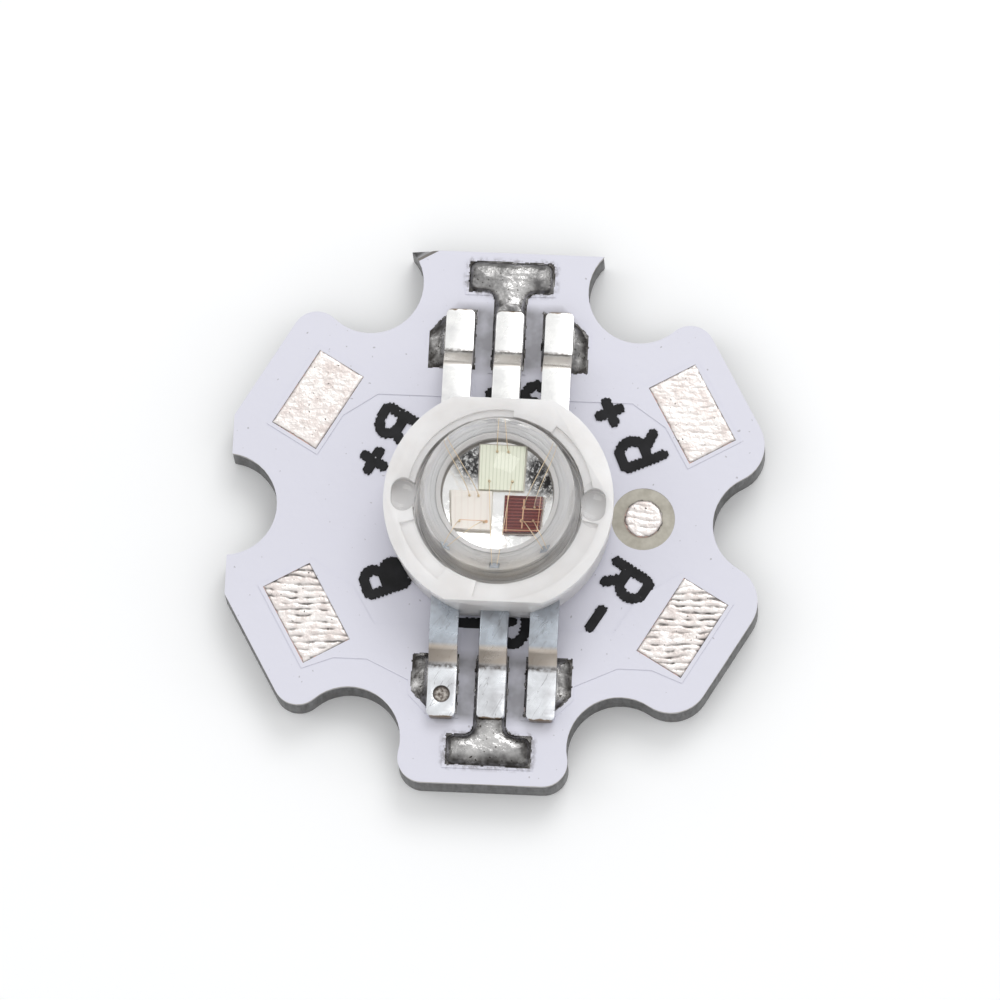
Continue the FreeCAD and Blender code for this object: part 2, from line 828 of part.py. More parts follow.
def hollow():
    """The space inside the lens: straight walls under a low cone with a flat top."""
    body = new_body("lens_inside", EMITTER, EMITTER_BASE)
    sketch = body_sketch(body, "hollow_section", "XZ_Plane")
    outline(sketch, [
        ("0", "recess_floor"),
        ("lens_radius - lens_wall", "recess_floor"),
        ("lens_radius - lens_wall", "lens_centre_height"),
        ("lens_hollow_top_radius", "lens_centre_height + lens_hollow_rise"),
        ("0", "lens_centre_height + lens_hollow_rise"),
    ])
    revolved(body, "hollow_turning", sketch)
    return body


def lens_and_inside():
    """The clear lens, with flange and channels, and the space that it closes in."""
    outside = dome()
    flange = disc(
        "lens_flange", ("0", "0"), "lens_flange_radius", EMITTER, above("recess_floor"),
        "lens_flange_height")
    inside = hollow()
    size = ("2 * port_out", "channel_width")
    ways = turned_box("filling_channel", "port_turn", "0", size, "recess_floor", "channel_height")
    lens = cut("lens", fused("lens_body", [outside, flange]), group("lens_hollows", [inside, ways]))
    return lens, inside, ways


def silicone(lens, inside, ways, contents):
    """The cured fill: all the lens closes in, and a plug in each port."""
    plugs = []
    for name, turn in PORT_TURNS.items():
        height = "(housing_height - recess_floor + port_stand)"
        plugs.append(port_column(f"{name}_plug", turn, height))
    fill = fused("fill_with_plugs", [inside, ways] + plugs)
    return cut("silicone_fill", fill, group("fill_contents", [lens] + contents))


def block(name, centre, size, bottom, height):
    """A square block on the emitter, centred by two formulas."""
    solid = doc.addObject("Part::Box", name)
    bind(solid, "Length", size)
    bind(solid, "Width", size)
    bind(solid, "Height", height)
    shift = [f"{EMITTER[axis]} + {centre[axis]} - ({size}) / 2" for axis in (0, 1)]
    place(solid, shift, above(bottom))
    return solid


def chip(colour):
    """A bare chip and the thin layer of die attach that holds it in the cup."""
    centre = (f"{colour}_chip_right", f"{colour}_chip_up")
    width = f"{colour}_chip_width"
    attach = block(
        f"{colour}_die_attach", centre, f"{width} + 2 * attach_margin", CHIP_FLOOR,
        "attach_thickness")
    die = block(
        f"{colour}_chip", centre, width, f"{CHIP_FLOOR} + attach_thickness", "chip_thickness")
    return attach, die


def bond_wire(start, end):
    """A looped wire with a flat foot at each end, between two points on flat faces.

    From the first foot it climbs steeply, runs on level and comes down in a long slope.
    """
    thick, rise, foot = value("wire_thickness"), value("wire_rise"), value("bond_length")
    run = end - start
    forward = FreeCAD.Vector(run.x, run.y, 0).normalize()
    aside = UP.cross(forward) * thick
    top = UP * (max(start.z, end.z) + rise)
    level = [FreeCAD.Vector(start.x, start.y, 0) + run.dot(forward) * share * forward + top
             for share in LOOP_SHARES]
    low = [start - forward * foot / 2, start + forward * foot / 2] + level
    low += [end - forward * foot / 2, end + forward * foot / 2]
    high = [point + UP * thick for point in reversed(low)]
    band = Part.Face(Part.makePolygon(low + high + low[:1])).extrude(aside)
    band.translate(aside / -2)
    return band


def wires():
    """The bond wires of each chip, one object for each colour."""
    looms = {}
    base = value(EMITTER_BASE)
    middle = FreeCAD.Vector(value(EMITTER[0]), value(EMITTER[1]), base)
    for colour, shares, lead_name in WIRES:
        half = value(f"{colour}_chip_width") / 2
        right, up = LEADS[lead_name]
        x, y = (value(text) for text in post_centre(right, up))
        for side, share in zip((-1, 1), shares):
            start = middle + FreeCAD.Vector(
                value(f"{colour}_chip_right") + share[0] * half,
                value(f"{colour}_chip_up") + share[1] * half,
                value(CHIP_TOP))
            aside = side * value("wire_pair_spacing") / 2
            end = middle + FreeCAD.Vector(up * x + aside, up * y, value(POST_TOP))
            looms.setdefault(colour, []).append(bond_wire(start, end))
    features = []
    for colour, pieces in looms.items():
        feature = doc.addObject("Part::Feature", f"{colour}_bond_wires")
        feature.Shape = Part.makeCompound(pieces)
        features.append(feature)
    return features


# Solder and thermal compound

def solder(name, right, up, foot):
    """A joint that fills its land round a lead's foot, its sides drawn in as it rises."""
    corners = side_land_corners() if right else stem_corners("0")
    mound = prism(
        f"{name}_mound", mirrored(corners, right or 1, up), ARTWORK, COPPER_TOP, "solder_height",
        "solder_slope")
    return cut(name, mound, foot)


def build():
    """Every sub-part of the emitter and its board, each an object with its own label."""
    fill_sheet()
    blank = star_blank()
    base = layer("aluminium_base", blank, "0", "base_thickness")
    dielectric = layer("dielectric_sheet", blank, "base_thickness", "dielectric_thickness")
    tracks, covers, windows = artwork()
    mask = solder_mask(blank, tracks, covers, windows)
    coats = tin_coats()
    leads = [lead(name, right, up) for name, (right, up) in LEADS.items()]
    joints = [
        solder(name.replace("_lead", "_solder"), right, up, foot)
        for (name, (right, up)), foot in zip(LEADS.items(), leads)
    ]
    compound = disc(
        "thermal_compound", ("0", "0"), COMPOUND_RADIUS, EMITTER, COPPER_TOP,
        "compound_thickness")
    slug = heat_slug()
    shell = housing(leads)
    lens, inside, ways = lens_and_inside()
    chips = [item for colour in ("green", "blue", "red") for item in chip(colour)]
    bonds = wires()
    contents = [shell, slug] + leads + chips + bonds
    fill = silicone(lens, inside, ways, contents)
    doc.recompute()
    nodes = [base, dielectric, mask] + list(tracks.values()) + list(coats.values())
    return nodes + joints + [compound, slug, shell, lens, fill] + leads + chips + bonds


def check(nodes):
    """Stops unless every object computed and every sub-part is a sound closed solid."""
    failed = [item.Label for item in doc.Objects if {"Invalid", "Error"} & set(item.State)]
    if failed:
        raise RuntimeError(f"these did not compute: {', '.join(failed)}")
    for node in nodes:
        shape = node.Shape
        if shape.isNull() or not shape.isValid() or not shape.Solids:
            raise RuntimeError(f"{node.Label} has no sound solid")


def write(nodes):
    os.makedirs("parts", exist_ok=True)
    for node in nodes:
        node.Shape.exportStep(f"parts/{node.Label}.step")
        print(f"{node.Label:24s} {len(node.Shape.Solids)} solid(s) {node.Shape.Volume:9.4f} mm3")


parts = build()
check(parts)
write(parts)
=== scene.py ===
# %% [markdown]
# # A three-colour power LED on its star board
#
# The engineering model brings every piece at its real size: an aluminium star, white lacquer
# over copper tracks, six bent leads, a milky ring and a clear lens over three chips. The lesson
# adds what it leaves out: finishes, lumpy solder, printed marks and smooth glass. All sizes are
# millimetres until they become a mesh.

# %% Load the frame
import math

import bmesh
import bpy
import numpy as np
from mathutils import Matrix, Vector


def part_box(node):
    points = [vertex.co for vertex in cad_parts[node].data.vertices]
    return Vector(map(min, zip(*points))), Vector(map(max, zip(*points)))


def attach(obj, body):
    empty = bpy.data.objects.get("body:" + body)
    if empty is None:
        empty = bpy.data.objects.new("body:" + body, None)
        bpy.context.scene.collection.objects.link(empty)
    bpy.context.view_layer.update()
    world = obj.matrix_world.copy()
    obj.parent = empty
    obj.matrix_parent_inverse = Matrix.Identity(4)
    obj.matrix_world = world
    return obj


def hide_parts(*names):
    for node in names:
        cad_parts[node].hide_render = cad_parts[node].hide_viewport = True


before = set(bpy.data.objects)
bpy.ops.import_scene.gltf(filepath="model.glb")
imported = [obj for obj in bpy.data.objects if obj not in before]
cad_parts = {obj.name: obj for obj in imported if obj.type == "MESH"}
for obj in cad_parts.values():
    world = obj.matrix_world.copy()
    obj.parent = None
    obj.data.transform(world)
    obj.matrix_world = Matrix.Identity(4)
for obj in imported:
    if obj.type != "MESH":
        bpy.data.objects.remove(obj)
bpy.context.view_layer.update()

MM = 0.001
print(f"{len(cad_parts)} pieces in the frame")


# %% [markdown]
# ## Landmarks
#
# The frame tells where things are, so no place is typed twice. The emitter's middle is that of
# its round slug. The copper artwork was printed a little off the middle of the punched outline,
# so it has its own: that of the round heat pad.

# %% Landmarks from the frame
def lowest(node):
    """The low corner of a node's box, in millimetres."""
    return np.array(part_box(node)[0]) / MM


def highest(node):
    """The high corner of a node's box, in millimetres."""
    return np.array(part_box(node)[1]) / MM


def middle(node):
    """The middle of a node's box, in millimetres."""
    return (lowest(node) + highest(node)) / 2


EMITTER = middle("heat_slug")[:2]
ARTWORK = middle("heat_pad")[:2]
SLUG_TOP = highest("heat_slug")[2]
COPPER_TOP = highest("heat_pad")[2]
LACQUER = 0.02
LACQUER_TOP = highest("dielectric_sheet")[2] + LACQUER
TRACK_TOP = COPPER_TOP + LACQUER
DIMPLE = middle("blue_minus_lead")[0], lowest("blue_minus_lead")[1] + 0.84
print("emitter", EMITTER.round(3), "artwork", ARTWORK.round(3), "slug top", round(SLUG_TOP, 3))


# %% [markdown]
# ## Meshes from arrays
#
# Every new piece is a surface of arrays in millimetres. It becomes a mesh at the origin that
# rides on the part, and it may take the place of a node of the engineering model.

# %% Add a piece
def add_piece(name, points, faces, materials, stands_for=()):
    """A mesh object at the origin that rides on the part, from points in millimetres."""
    mesh = bpy.data.meshes.new(name)
    mesh.from_pydata(np.asarray(points) * MM, [], faces)
    mesh.validate()
    mesh.shade_smooth()
    piece = bpy.data.objects.new(name, mesh)
    bpy.context.collection.objects.link(piece)
    for material in materials:
        mesh.materials.append(material)
    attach(piece, "root")
    if stands_for:
        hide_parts(*stands_for)
    print(f"{name}: {len(mesh.vertices)} points, {len(mesh.polygons)} faces")
    return piece


def mark_rim(piece, values):
    """Stores a value from 0 to 1 at each point, which the finishes paint dark as burnt flux and
    shade.
    """
    piece.data.attributes.new("rim", "FLOAT", "POINT").data.foreach_set("value", values)


def swung(points, centre, turn):
    """Points turned about the origin by an angle and then moved to a centre."""
    x = centre[0] + points[:, 0] * math.cos(turn) - points[:, 1] * math.sin(turn)
    y = centre[1] + points[:, 0] * math.sin(turn) + points[:, 1] * math.cos(turn)
    return np.column_stack([x, y, points[:, 2]])


print("a quarter turn takes x to", swung(np.eye(3), (0, 0), math.pi / 2)[0].round(3))


# %% [markdown]
# ## Puddles
#
# Solder, tin and ink lie on the board like a puddle: a top sheet, a flat underside and a wall
# round the edge. They could be sculpted, but a height that is a formula is quicker to correct.
# Where two cells met at a corner alone, two walls would share one upright edge, so one more cell
# is filled there.

# %% Puddles over a grid
def flat_grid(low, high, step):
    """Arrays of x and y over a rectangle, one point every step."""
    across = np.arange(low[0], high[0] + step, step)
    along = np.arange(low[1], high[1] + step, step)
    return np.meshgrid(across, along)


def without_pinches(inside):
    """Fills a cell wherever two marked cells meet at a corner alone, so that walls never cross."""
    filled = inside.copy()
    for _ in range(6):
        low_left, low_right = filled[:-1, :-1], filled[:-1, 1:]
        high_left, high_right = filled[1:, :-1], filled[1:, 1:]
        rising = low_left & high_right & ~low_right & ~high_left
        falling = low_right & high_left & ~low_left & ~high_right
        filled[:-1, 1:] |= rising
        filled[:-1, :-1] |= falling
    return filled


def puddle(x, y, top, floor, inside):
    """Points and faces of a closed solid over the grid cells marked inside.

    The top sheet takes its heights from an array and the underside lies on the floor. Each
    cell edge with a marked cell on one side only gets a wall from the top to the floor.
    """
    inside = without_pinches(inside)
    number = np.arange(x.size).reshape(x.shape)
    corners = [number[:-1, :-1], number[:-1, 1:], number[1:, 1:], number[1:, :-1]]
    tops = np.stack([corner[inside] for corner in corners], axis=1)
    around = np.pad(inside, 1)
    neighbours = [around[:-2, 1:-1], around[1:-1, 2:], around[2:, 1:-1], around[1:-1, :-2]]
    walls = []
    for side, neighbour in enumerate(neighbours):
        border = inside & ~neighbour
        first = corners[side][border]
        second = corners[(side + 1) % 4][border]
        walls.append(np.stack([second, first, first + x.size, second + x.size], axis=1))
    faces = np.concatenate([tops, tops[:, ::-1] + x.size] + walls)
    heights = np.concatenate([top.ravel(), np.full(x.size, float(floor))])
    points = np.column_stack([np.tile(x.ravel(), 2), np.tile(y.ravel(), 2), heights])
    used, faces = np.unique(faces, return_inverse=True)
    return points[used], faces.reshape(-1, 4).tolist()


slab = puddle(*np.meshgrid([0, 1], [0, 1]), np.ones((2, 2)), 0, np.ones((1, 1), bool))
print("a puddle of one cell has", len(slab[1]), "faces")


# %% [markdown]
# ## Lumps
#
# Nothing that froze from a melt is even. Lumps are smooth noise: random values on a coarse grid
# with a soft blend between them. The seed makes each run the same.

# %% Smooth noise as arrays
def lumps(x, y, size, seed):
    """Smooth noise from -1 to 1 whose bumps are about as wide as size.

    Each point blends the four random corners of its cell with weights t * t * (3 - 2 * t).
    """
    corners = np.random.default_rng(seed).uniform(-1, 1, (256, 256))
    u, v = x / size + 100.0, y / size + 100.0
    column, row = np.floor(u).astype(int), np.floor(v).astype(int)
    s, t = u - column, v - row
    s, t = s * s * (3 - 2 * s), t * t * (3 - 2 * t)
    near, far = column % 256, (column + 1) % 256
    low, high = row % 256, (row + 1) % 256
    below = corners[low, near] * (1 - s) + corners[low, far] * s
    above = corners[high, near] * (1 - s) + corners[high, far] * s
    return below * (1 - t) + above * t


print("lumps at four points:", lumps(np.arange(4) * 0.3, np.zeros(4), 0.5, 1).round(2))


# %% [markdown]
# ## A kit for finishes
#
# Every finish is a Principled shader whose pattern is worked out by nodes. They can be placed by
# hand in the editor, but short helpers make a tree as readable as arithmetic. Patterns read
# Object coordinates in millimetres, so a stain sits at a measured place on the board.

# %% Helpers for nodes and colours
def rgb(red, green, blue):
    """A colour as a screen shows it, 0 to 255, in the linear values of a shader."""
    share = np.array([red, green, blue]) / 255
    linear = np.where(share <= 0.04045, share / 12.92, ((share + 0.055) / 1.055) ** 2.4)
    return (*linear.tolist(), 1.0)


def add(kind, inputs=None, tree=None, **settings):
    """A node of a kind. Each input is joined to a socket, or set to a plain value.

    The node goes into the tree of those sockets. One without any is told its tree.
    """
    inputs = inputs or {}
    joins = {name: value for name, value in inputs.items()
             if isinstance(value, bpy.types.NodeSocket)}
    tree = tree or next(iter(joins.values())).id_data
    node = tree.nodes.new("ShaderNode" + kind)
    for name, setting in settings.items():
        setattr(node, name, setting)
    for name, value in inputs.items():
        if name in joins:
            tree.links.new(value, node.inputs[name])
        else:
            node.inputs[name].default_value = value
    return node


def calc(operation, *values, clamp=False):
    """One step of arithmetic between sockets or numbers."""
    inputs = dict(enumerate(values))
    return add("Math", inputs, operation=operation, use_clamp=clamp).outputs[0]


def times(*values, clamp=False):
    """The product of two sockets or numbers."""
    return calc("MULTIPLY", *values, clamp=clamp)


def apart(one, other):
    """How far two values lie apart, |one - other|."""
    return calc("ABSOLUTE", calc("SUBTRACT", one, other))


def blend(mask, below, above):
    """The colour below where the mask is 0 and the colour above where it is 1."""
    return add("Mix", {0: mask, 6: below, 7: above}, data_type="RGBA").outputs[2]


def stretch(value, low, high, to_low=0.0, to_high=1.0):
    """A value between two limits, moved to two others and held there."""
    inputs = {"Value": value, "From Min": low, "From Max": high, "To Min": to_low,
              "To Max": to_high}
    return add("MapRange", inputs).outputs["Result"]


def split(vector):
    """The X, Y and Z of a vector socket."""
    return add("SeparateXYZ", {"Vector": vector}).outputs


def spot(where, centre, full, none):
    """1 within a distance of an upright line through centre, fading to 0 at another."""
    flat = add("VectorMath", {0: where, 1: (1.0, 1.0, 0.0)}, operation="MULTIPLY")
    inputs = {0: flat.outputs["Vector"], 1: (centre[0], centre[1], 0.0)}
    off = add("VectorMath", inputs, operation="DISTANCE").outputs["Value"]
    return stretch(off, full, none, 1.0, 0.0)


def noise(where, size, detail=2.0, roughness=0.5):
    """Soft noise from 0 to 1 whose features are about as wide as size."""
    inputs = {"Vector": where, "Scale": 1 / size, "Detail": detail, "Roughness": roughness}
    return add("TexNoise", inputs).outputs["Fac"]


print("white paper, 221 on a screen, is", round(rgb(221, 221, 221)[0], 3), "in a shader")


# %% [markdown]
# ## Materials
#
# Constant values go straight on the shader's own sockets, and only what changes over the surface
# comes in through a link.

# %% Helpers for materials
def finish(name, **constants):
    """A new material and its Principled shader, with constant values set."""
    material = bpy.data.materials.new(name)
    material.use_nodes = True
    shader = material.node_tree.nodes["Principled BSDF"]
    for key, value in constants.items():
        shader.inputs[key.replace("_", " ").title().replace("Ior", "IOR")].default_value = value
    return material, shader


def patterned(name, **constants):
    """A finish, and Object coordinates in millimetres for its pattern."""
    material, shader = finish(name, **constants)
    where = add("TexCoord", tree=shader.id_data).outputs["Object"]
    scale = (1 / MM, 1 / MM, 1 / MM)
    return material, shader, add("Mapping", {"Vector": where, "Scale": scale}).outputs[0]


def bump(shader, height, depth):
    """Lets a height in millimetres, times depth, tilt the shading."""
    inputs = {"Height": height, "Distance": depth * MM, "Strength": 1.0}
    normal = add("Bump", inputs).outputs["Normal"]
    shader.id_data.links.new(normal, shader.inputs["Normal"])


def drive(shader, **sockets):
    """Links each socket to the input of the shader that has its name."""
    for key, socket in sockets.items():
        socket.id_data.links.new(socket, shader.inputs[key.replace("_", " ").title()])


print("materials before this lesson's own:", len(bpy.data.materials))


# %% [markdown]
# ## Shared effects as node groups
#
# Specks are the dirt in every finish of a hand-soldered board: noise with a high threshold.
# Scratches are noise stretched along one direction and cut to thin lines. Each group puts out a
# mask, and the material decides what the mask does.

# %% Build the groups
def new_group(name, numbers):
    """A node group with a vector input, the numbers named, and one mask as its output."""
    group = bpy.data.node_groups.new(name, "ShaderNodeTree")
    group.interface.new_socket("Vector", in_out="INPUT", socket_type="NodeSocketVector")
    for key, default in numbers.items():
        socket = group.interface.new_socket(key, in_out="INPUT", socket_type="NodeSocketFloat")
        socket.default_value = default
    group.interface.new_socket("Mask", in_out="OUTPUT", socket_type="NodeSocketFloat")
    entry = group.nodes.new("NodeGroupInput")
    leave = group.nodes.new("NodeGroupOutput")
    return group, entry.outputs, leave.inputs["Mask"]


def specks_group():
    """Spots where noise of a given size rises over 1 - amount."""
    group, given, mask = new_group("specks", {"Size": 0.1, "Amount": 0.3})
    scale = calc("DIVIDE", 1.0, given["Size"])
    field = add("TexNoise", {"Vector": given["Vector"], "Scale": scale, "Detail": 1.0})
    edge = calc("SUBTRACT", 1.0, given["Amount"])
    over = calc("SUBTRACT", field.outputs["Fac"], edge)
    group.links.new(times(over, 25.0, clamp=True), mask)
    return group


def scratches_group():
    """Thin lines where stretched noise passes its middle value."""
    group, given, mask = new_group("scratches", {"Turn": 0.0, "Width": 0.01, "Spacing": 0.3})
    turn = add("CombineXYZ", {"Z": given["Turn"]}).outputs[0]
    rotated = add("Mapping", {"Vector": given["Vector"], "Rotation": turn})
    across = calc("DIVIDE", 1.0, given["Spacing"])
    along = times(across, 0.12)
    shape = add("CombineXYZ", {"X": across, "Y": along, "Z": along}).outputs[0]
    pulled = add("VectorMath", {0: rotated.outputs[0], 1: shape}, operation="MULTIPLY")
    inputs = {"Vector": pulled.outputs[0], "Scale": 1.0, "Detail": 3.0}
    field = add("TexNoise", inputs).outputs["Fac"]
    line = calc("SUBTRACT", given["Width"], apart(field, 0.5))
    group.links.new(times(line, 200.0, clamp=True), mask)
    return group


SPECKS = specks_group()
SCRATCHES = scratches_group()


def masked(group, where, **numbers):
    """The mask of one of the shared groups, with values of its own."""
    node = where.id_data.nodes.new("ShaderNodeGroup")
    node.node_tree = group
    where.id_data.links.new(where, node.inputs["Vector"])
    for key, value in numbers.items():
        node.inputs[key.title()].default_value = value
    return node.outputs["Mask"]


print("groups:", SPECKS.name, SCRATCHES.name)


# %% [markdown]
# ## White lacquer
#
# Star boards carry a lavender white solder resist. Grey flux smudges between the leads and dark
# flux crumbs round the bars of the two middle joints are painted together with the shade that
# falls beside leads and joints. An image could show that; masks from distances show it at any
# size and follow the model when it changes.

# %% Lacquer
# The rows of joints, north and south: half their length, how far out they lie, half their depth.
ROW_HALF, ROW_OUT, ROW_DEPTH = 1.9, 6.5, 1.0

# The bars of the middle joints: depth, half their length, and how far out their middles lie.
BAR_DEPTH = 1.06
BAR_HALF = float((highest("green_plus_solder") - lowest("green_plus_solder"))[0] / 2)
BAR_OUT = float(highest("green_plus_solder")[1] - ARTWORK[1]) - BAR_DEPTH / 2


def near_band(where, half, out, depth, reach):
    """1 inside the two oblongs that lie out from the artwork's middle, north and south of it.

    Each is 2 * half wide and 2 * depth deep. The mask fades to 0 over the reach round them.
    """
    parts = split(where)
    across = apart(parts["X"], ARTWORK[0])
    ahead = apart(apart(parts["Y"], ARTWORK[1]), out)
    beside = calc("MAXIMUM", calc("SUBTRACT", across, half), 0.0)
    beyond = calc("MAXIMUM", calc("SUBTRACT", ahead, depth), 0.0)
    return stretch(calc("ADD", beside, beyond), 0.0, reach, 1.0, 0.0)


def lacquer_finish():
    """White solder resist: satin, with specks, and grey flux and painted shade near the joints."""
    material, shader, where = patterned("white_lacquer", roughness=0.38, specular_ior_level=0.45)
    patchy = stretch(noise(where, 0.9, 3.0), 0.3, 0.6, 0.45, 1.0)
    # Grey flux film between the leads, painted together with the shade that falls beside them.
    film = times(near_band(where, ROW_HALF, ROW_OUT, ROW_DEPTH, 0.4), patchy)
    flux_film_and_shade = blend(times(film, 0.8), rgb(219, 219, 230), rgb(126, 125, 128))
    # Dark flux crumbs round the bars, painted together with the contact shade there.
    bars = near_band(where, BAR_HALF, BAR_OUT, 0.5, 0.3)
    flux_crumbs_and_shade = stretch(noise(where, 0.22, 4.0, 0.65), 0.45, 0.6, 0.0, 0.8)
    burnt_and_shaded = blend(times(bars, flux_crumbs_and_shade), flux_film_and_shade, rgb(96, 90, 88))
    specks = masked(SPECKS, where, size=0.2, amount=0.26)
    colour = blend(times(specks, 0.6), burnt_and_shaded, rgb(150, 146, 150))
    drive(shader, base_color=colour)
    bump(shader, noise(where, 0.6, 2.0), 0.012)
    return material


WHITE_LACQUER = lacquer_finish()
print("bars", round(2 * BAR_HALF, 2), "by", BAR_DEPTH, "mm,", round(BAR_OUT, 2), "mm out")


# %% [markdown]
# ## Punched aluminium, film and copper
#
# The punch drags the metal into upright lines, tears it in patches and leaves a bright lip under
# the lacquer. Noise squeezed along the height gives the lines: scaled evenly it would look like
# cloud. The film between the metals shows as a beige ring round the aiming dot, and dark where
# the north arm is chipped.

# %% Punched sides, film and copper
def edge_metal_finish():
    """Punched aluminium: grey metal with upright drag lines and dark torn patches."""
    material, shader, where = patterned("aluminium", metallic=0.85, roughness=0.42)
    pulled = add("Mapping", {"Vector": where, "Scale": (5.0, 5.0, 0.7)}).outputs[0]
    drag = noise(pulled, 1.0, 4.0, 0.65)
    torn = noise(where, 0.8, 3.0)
    lines = stretch(drag, 0.3, 0.7)
    bright = blend(lines, rgb(76, 75, 74), rgb(122, 122, 123))
    dark = stretch(torn, 0.55, 0.75, 0.0, 0.6)
    sheared = blend(dark, bright, rgb(78, 75, 71))
    wavy = calc("ADD", split(where)["Z"], times(torn, 0.3))
    lip = stretch(wavy, 1.54, 1.62, 0.0, 0.8)
    drive(shader, base_color=blend(lip, sheared, rgb(190, 190, 192)))
    bump(shader, drag, 0.03)
    return material


# Where the lacquer is chipped off the north arm and the film under it is smeared dark.
NICK = (-2.9, 9.3)


def laminate_finish():
    """The insulating film, seen as a beige ring round the aiming dot."""
    material, shader, where = patterned("dielectric", roughness=0.5)
    mottled = stretch(noise(where, 0.35, 3.0), 0.3, 0.7)
    film = blend(mottled, rgb(168, 163, 150), rgb(194, 190, 178))
    smear = times(spot(where, NICK, 1.0, 1.6), 0.8)
    drive(shader, base_color=blend(smear, film, rgb(96, 92, 92)))
    return material


ALUMINIUM = edge_metal_finish()
DIELECTRIC = laminate_finish()
COPPER = finish("copper", metallic=1.0, base_color=rgb(206, 174, 164), roughness=0.4)[0]
print("finishes:", ALUMINIUM.name, DIELECTRIC.name, COPPER.name)


# %% [markdown]
# ## Tin and solder
#
# Both are a bright soft metal that froze in clouds and keeps black specks, so one function makes
# both. Burnt flux and painted shade near the rim follow a point attribute, because only the
# piece knows how near its rim a point lies.

# %% Tin, solder and heat-sink compound
def tinned_finish(name, low, high, smooth, patch, dirt):
    """Tin or solder: a bright soft metal that freezes in lumps and keeps black specks."""
    material, shader, where = patterned(name, metallic=1.0, roughness=smooth)
    cloud = stretch(noise(where, patch, 4.0, 0.6), 0.35, 0.65)
    metal = blend(cloud, low, high)
    specks = masked(SPECKS, where, size=0.12, amount=dirt)
    dirty = blend(specks, metal, rgb(60, 56, 52))
    tree = material.node_tree
    # Near the rim the metal is painted dark: burnt flux together with painted shade.
    rim = add("Attribute", tree=tree, attribute_name="rim").outputs["Fac"]
    patchy = stretch(noise(where, 0.3), 0.3, 0.6, 0.35, 0.95)
    burnt_and_shaded = times(rim, patchy, clamp=True)
    drive(shader, base_color=blend(burnt_and_shaded, dirty, rgb(56, 53, 50)))
    drive(shader, roughness=stretch(cloud, 0.0, 1.0, smooth + 0.14, smooth - 0.06))
    bump(shader, noise(where, 0.16, 3.0, 0.6), 0.03)
    return material


TIN = tinned_finish("tin", rgb(218, 208, 204), rgb(248, 243, 240), 0.34, 0.45, 0.28)
SOLDER = tinned_finish("solder", rgb(108, 107, 107), rgb(206, 205, 204), 0.26, 0.9, 0.31)
COMPOUND = finish("thermal_compound", base_color=rgb(214, 214, 210), roughness=0.7)[0]
print("finishes:", TIN.name, SOLDER.name, COMPOUND.name)


# %% [markdown]
# ## Silver-plated leads
#
# The leads were stamped from plated strip and bent. The plus leads are bright. The minus leads
# are painted dull blue-grey, a painted reflection over their tarnish, and are scratched, and one
# has a test dimple with painted shade round its wall. The slopes carry a painted beige reflection,
# painted shade lies in the crease over each foot, and the cut ends show the core metal.

# %% Plated leads
# Where the slope of a minus lead has its middle, and how much further out a plus lead's lies.
BEND_MIDDLE, PLUS_LATER = 5.34, 0.29

# How far past the slope its crease lies, where a foot ends, and where the painted reflection
# of the flat part gives way to that of the foot.
CREASE_BEYOND, FOOT_END, FLAT_TO_FOOT = 0.38, 7.59, (5.2, 5.7)


